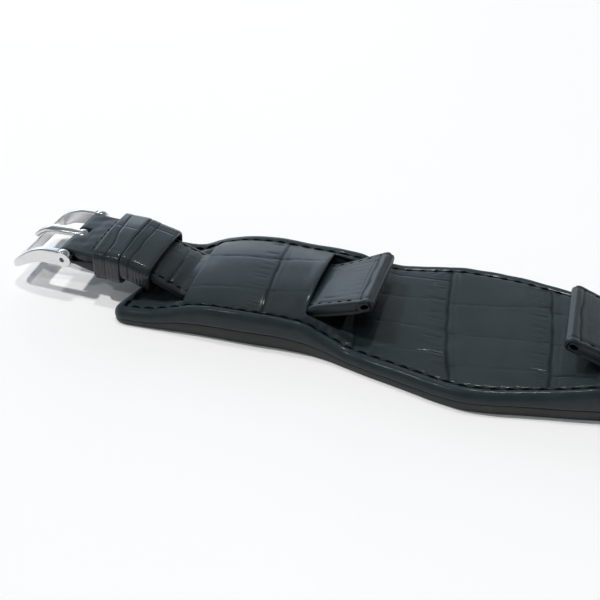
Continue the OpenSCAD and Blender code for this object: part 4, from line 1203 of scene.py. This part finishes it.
def light_room(scene):
    """An even cool light from all round. Low down behind the strap it is brighter, as a white backdrop makes
    it, and the camera itself sees plain white."""
    scene.world = bpy.data.worlds.new("Soft Room")
    scene.world.use_nodes = True
    tree = scene.world.node_tree
    room = tree.nodes["Background"]
    toward = add(tree, "ShaderNodeTexCoord").outputs["Generated"]
    toward = add(tree, "ShaderNodeSeparateXYZ", {0: toward}).outputs
    low = math_node(tree, "MULTIPLY", math_node(tree, "SUBTRACT", 0.53, toward["Z"]), 2.6, True)
    back = math_node(tree, "MULTIPLY", math_node(tree, "ADD", toward["Y"], 0.2), 1.2, True)
    glow = math_node(tree, "MULTIPLY", math_node(tree, "MULTIPLY", low, back), 1.05)
    wire(tree, room, {"Color": (0.87, 0.94, 1, 1), "Strength": math_node(tree, "ADD", glow, 0.172)})
    plain = add(tree, "ShaderNodeBackground", {"Color": (0.95, 0.955, 0.965, 1)})
    seen = add(tree, "ShaderNodeLightPath").outputs["Is Camera Ray"]
    mix = add(tree, "ShaderNodeMixShader", {0: seen, 1: room.outputs[0], 2: plain.outputs[0]})
    wire(tree, tree.nodes["World Output"], {"Surface": mix.outputs[0]})


def place_lamp(scene, name, kind, power, forward, place):
    light = bpy.data.lights.new(name, kind)
    light.energy = power
    lamp = bpy.data.objects.new(name, light)
    lamp.matrix_world = facing_matrix(forward, place)
    scene.collection.objects.link(lamp)
    return lamp


def place_lamps(scene):
    """Three lamps throw the sharp shadows, and a soft box behind gives the leather its sheen."""
    # Name, direction the light comes from, power and angle that the lamp fills in degrees
    for name, toward, power, degrees in (
            ("back_lamp", (-0.055, 0.32, 1), 0.72, 4), ("side_lamp", (-0.44, -0.54, 1), 0.36, 4),
            ("left_lamp", (-0.6, 0.06, 1), 2.02, 3.5)):
        lamp = place_lamp(scene, name, "SUN", power, -np.array(toward), toward)
        lamp.data.angle = radians(degrees)
        lamp.visible_glossy = name != "left_lamp"
    box = place_lamp(scene, "soft_box", "AREA", 4.0, (0.8, -1.1, -0.44), (-0.8, 1.1, 0.44)).data
    box.shape, box.size, box.size_y, box.color = "RECTANGLE", 1.4, 0.45, (0.68, 0.85, 1)


def place_camera(scene):
    """A 54.6 mm lens, 38.3 degrees down and 17.7 degrees off the strap's cross direction."""
    pitch, yaw, roll = radians(38.291), radians(17.657), radians(-0.088)
    forward = np.array([-sin(yaw) * cos(pitch), cos(yaw) * cos(pitch), -sin(pitch)])
    right = np.array([cos(yaw), sin(yaw), 0])
    up = np.cross(right, forward)
    right, up = cos(roll) * right + sin(roll) * up, -sin(roll) * right + cos(roll) * up
    data = bpy.data.cameras.new("camera")
    # The focal length was fitted in picture widths of 600
    data.sensor_width = 36
    data.lens = 909.89 / 600 * data.sensor_width
    data.clip_start, data.clip_end = 0.01, 20
    camera = bpy.data.objects.new("camera", data)
    camera.matrix_world = turned(right, up, forward, np.array([8.32, -150.62, 127.38]) * MM)
    scene.collection.objects.link(camera)
    scene.camera = camera


# ---- Add-on ----

COLOUR = {"subtype": "COLOR", "size": 3, "min": 0, "max": 1}


class CuffStrapSizes(bpy.types.PropertyGroup):
    """Sizes of the fine details."""
    stitch_pitch: FloatProperty(
        name="Stitch Pitch", description="Distance from one stitch to the next, in millimetres", default=3.05,
        min=1.5, max=5)
    thread_radius: FloatProperty(
        name="Thread Radius", description="Radius of the thread, in millimetres", default=0.26, min=0.1,
        max=0.5)


class CuffStrapColours(bpy.types.PropertyGroup):
    """Colours of the leathers, the thread, the steel and the table."""
    leather: FloatVectorProperty(
        name="Leather", description="Dark dye of the leather", default=(0.0114, 0.0178, 0.0212), **COLOUR)
    # Four times this colour lightens the rubbed marks, which are partly painted sheen streaks
    leather_light: FloatVectorProperty(
        name="Leather Light", description="Lighter dye where the leather is rubbed",
        default=(0.016, 0.0246, 0.0288), **COLOUR)
    lining: FloatVectorProperty(
        name="Lining", description="Lining leather", default=(0.03, 0.0362, 0.035), **COLOUR)
    edge: FloatVectorProperty(
        name="Edge Paint", description="Paint on the lining's edge", default=(0.034, 0.041, 0.038), **COLOUR)
    thread: FloatVectorProperty(
        name="Thread", description="Waxed thread", default=(0.0025, 0.003, 0.004), **COLOUR)
    steel: FloatVectorProperty(
        name="Steel", description="Buckle steel", default=(0.8, 0.8, 0.8), **COLOUR)
    table: FloatVectorProperty(
        name="Table", description="Table under the strap", default=(0.893, 0.884, 0.876), **COLOUR)


class CUFF_OT_pad(bpy.types.Operator):
    """Builds the pad's lining and its rolled facing"""
    bl_idname = "cuff.pad"
    bl_label = "Pad"

    def execute(self, context):
        low, high = pad_pieces(context.scene.cuff_sizes)
        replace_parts(low, "pad_lining")
        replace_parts(high, "pad_facing", "pad_core")
        return {"FINISHED"}


class CUFF_OT_panel(bpy.types.Operator):
    """Builds the scaled top panel with its two slots"""
    bl_idname = "cuff.panel"
    bl_label = "Top Panel"

    def execute(self, context):
        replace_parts(panel_piece(context.scene.cuff_sizes), "top_panel")
        return {"FINISHED"}


class CUFF_OT_buckle_half(bpy.types.Operator):
    """Builds the buckle half: its layers, lug end and the loop round the spring bar"""
    bl_idname = "cuff.buckle_half"
    bl_label = "Buckle Half"

    def execute(self, context):
        upper, lining = strap_layers(BUCKLE_HALF)
        lug_end(BUCKLE_HALF)
        buckle_loop_piece()
        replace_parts(upper, "short_strap_upper", "short_strap_filler")
        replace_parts(lining, "short_strap_lining")
        return {"FINISHED"}


class CUFF_OT_tail_half(bpy.types.Operator):
    """Builds the tail half with its adjustment holes and its lug end"""
    bl_idname = "cuff.tail_half"
    bl_label = "Tail Half"

    def execute(self, context):
        upper, lining = strap_layers(TAIL_HALF)
        lug_end(TAIL_HALF)
        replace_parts(upper, "long_strap_upper", "long_strap_filler")
        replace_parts(lining, "long_strap_lining")
        return {"FINISHED"}


class CUFF_OT_keepers(bpy.types.Operator):
    """Builds the fixed and the free keeper"""
    bl_idname = "cuff.keepers"
    bl_label = "Keepers"

    def execute(self, context):
        for keeper in KEEPERS:
            outer, lining = keeper_pieces(keeper)
            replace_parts(outer, keeper.name)
            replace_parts(lining, keeper.name + "_lining")
        return {"FINISHED"}


class CUFF_OT_stitches(bpy.types.Operator):
    """Sews the rows of stitches on the pad and on both halves"""
    bl_idname = "cuff.stitches"
    bl_label = "Stitches"

    def execute(self, context):
        sizes = context.scene.cuff_sizes
        pad_stitches(sizes)
        strap_stitches(BUCKLE_HALF, sizes)
        strap_stitches(TAIL_HALF, sizes)
        return {"FINISHED"}


class CUFF_OT_buckle(bpy.types.Operator):
    """Builds the buckle's frame and tongue, and finishes its spring bar"""
    bl_idname = "cuff.buckle"
    bl_label = "Buckle"

    def execute(self, context):
        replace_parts(buckle_frame_piece(), "buckle_frame")
        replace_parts(tongue_piece(), "buckle_tongue")
        for node in ("spring_bar_barrel", "plunger_near", "plunger_far", "spring_bar_spring"):
            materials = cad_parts[node].data.materials
            materials.clear()
            materials.append(finish("Spring Bar Steel"))
        return {"FINISHED"}


class CUFF_OT_stage(bpy.types.Operator):
    """Sets the table, the soft lights and the camera"""
    bl_idname = "cuff.stage"
    bl_label = "Stage"

    def execute(self, context):
        scene = context.scene
        table_material(tuple(scene.cuff_colours.table))
        place_table(scene)
        light_room(scene)
        place_lamps(scene)
        place_camera(scene)
        scene.view_settings.view_transform = "Standard"
        return {"FINISHED"}


class CUFF_PT_panel(bpy.types.Panel):
    """Lists the strap's settings and builders"""
    bl_idname = "CUFF_PT_panel"
    bl_label = "Cuff Strap"
    bl_space_type = "VIEW_3D"
    bl_region_type = "UI"
    bl_category = "Cuff Strap"

    def draw(self, context):
        for group in (context.scene.cuff_sizes, context.scene.cuff_colours):
            column = self.layout.column(align=True)
            for key in group.__annotations__:
                column.prop(group, key)
        for operator in STEPS:
            self.layout.operator(operator.bl_idname)


STEPS = (CUFF_OT_pad, CUFF_OT_panel, CUFF_OT_buckle_half, CUFF_OT_tail_half, CUFF_OT_keepers,
         CUFF_OT_stitches, CUFF_OT_buckle, CUFF_OT_stage)
CLASSES = (CuffStrapSizes, CuffStrapColours, *STEPS, CUFF_PT_panel)


def register():
    for item in CLASSES:
        bpy.utils.register_class(item)
    bpy.types.Scene.cuff_sizes = PointerProperty(type=CuffStrapSizes)
    bpy.types.Scene.cuff_colours = PointerProperty(type=CuffStrapColours)


def unregister():
    del bpy.types.Scene.cuff_sizes
    del bpy.types.Scene.cuff_colours
    for item in reversed(CLASSES):
        bpy.utils.unregister_class(item)


def main():
    register()
    make_materials(bpy.context.scene.cuff_colours)
    for operator in STEPS:
        group, name = operator.bl_idname.split(".")
        getattr(getattr(bpy.ops, group), name)()
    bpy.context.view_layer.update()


if __name__ == "__main__":
    main()
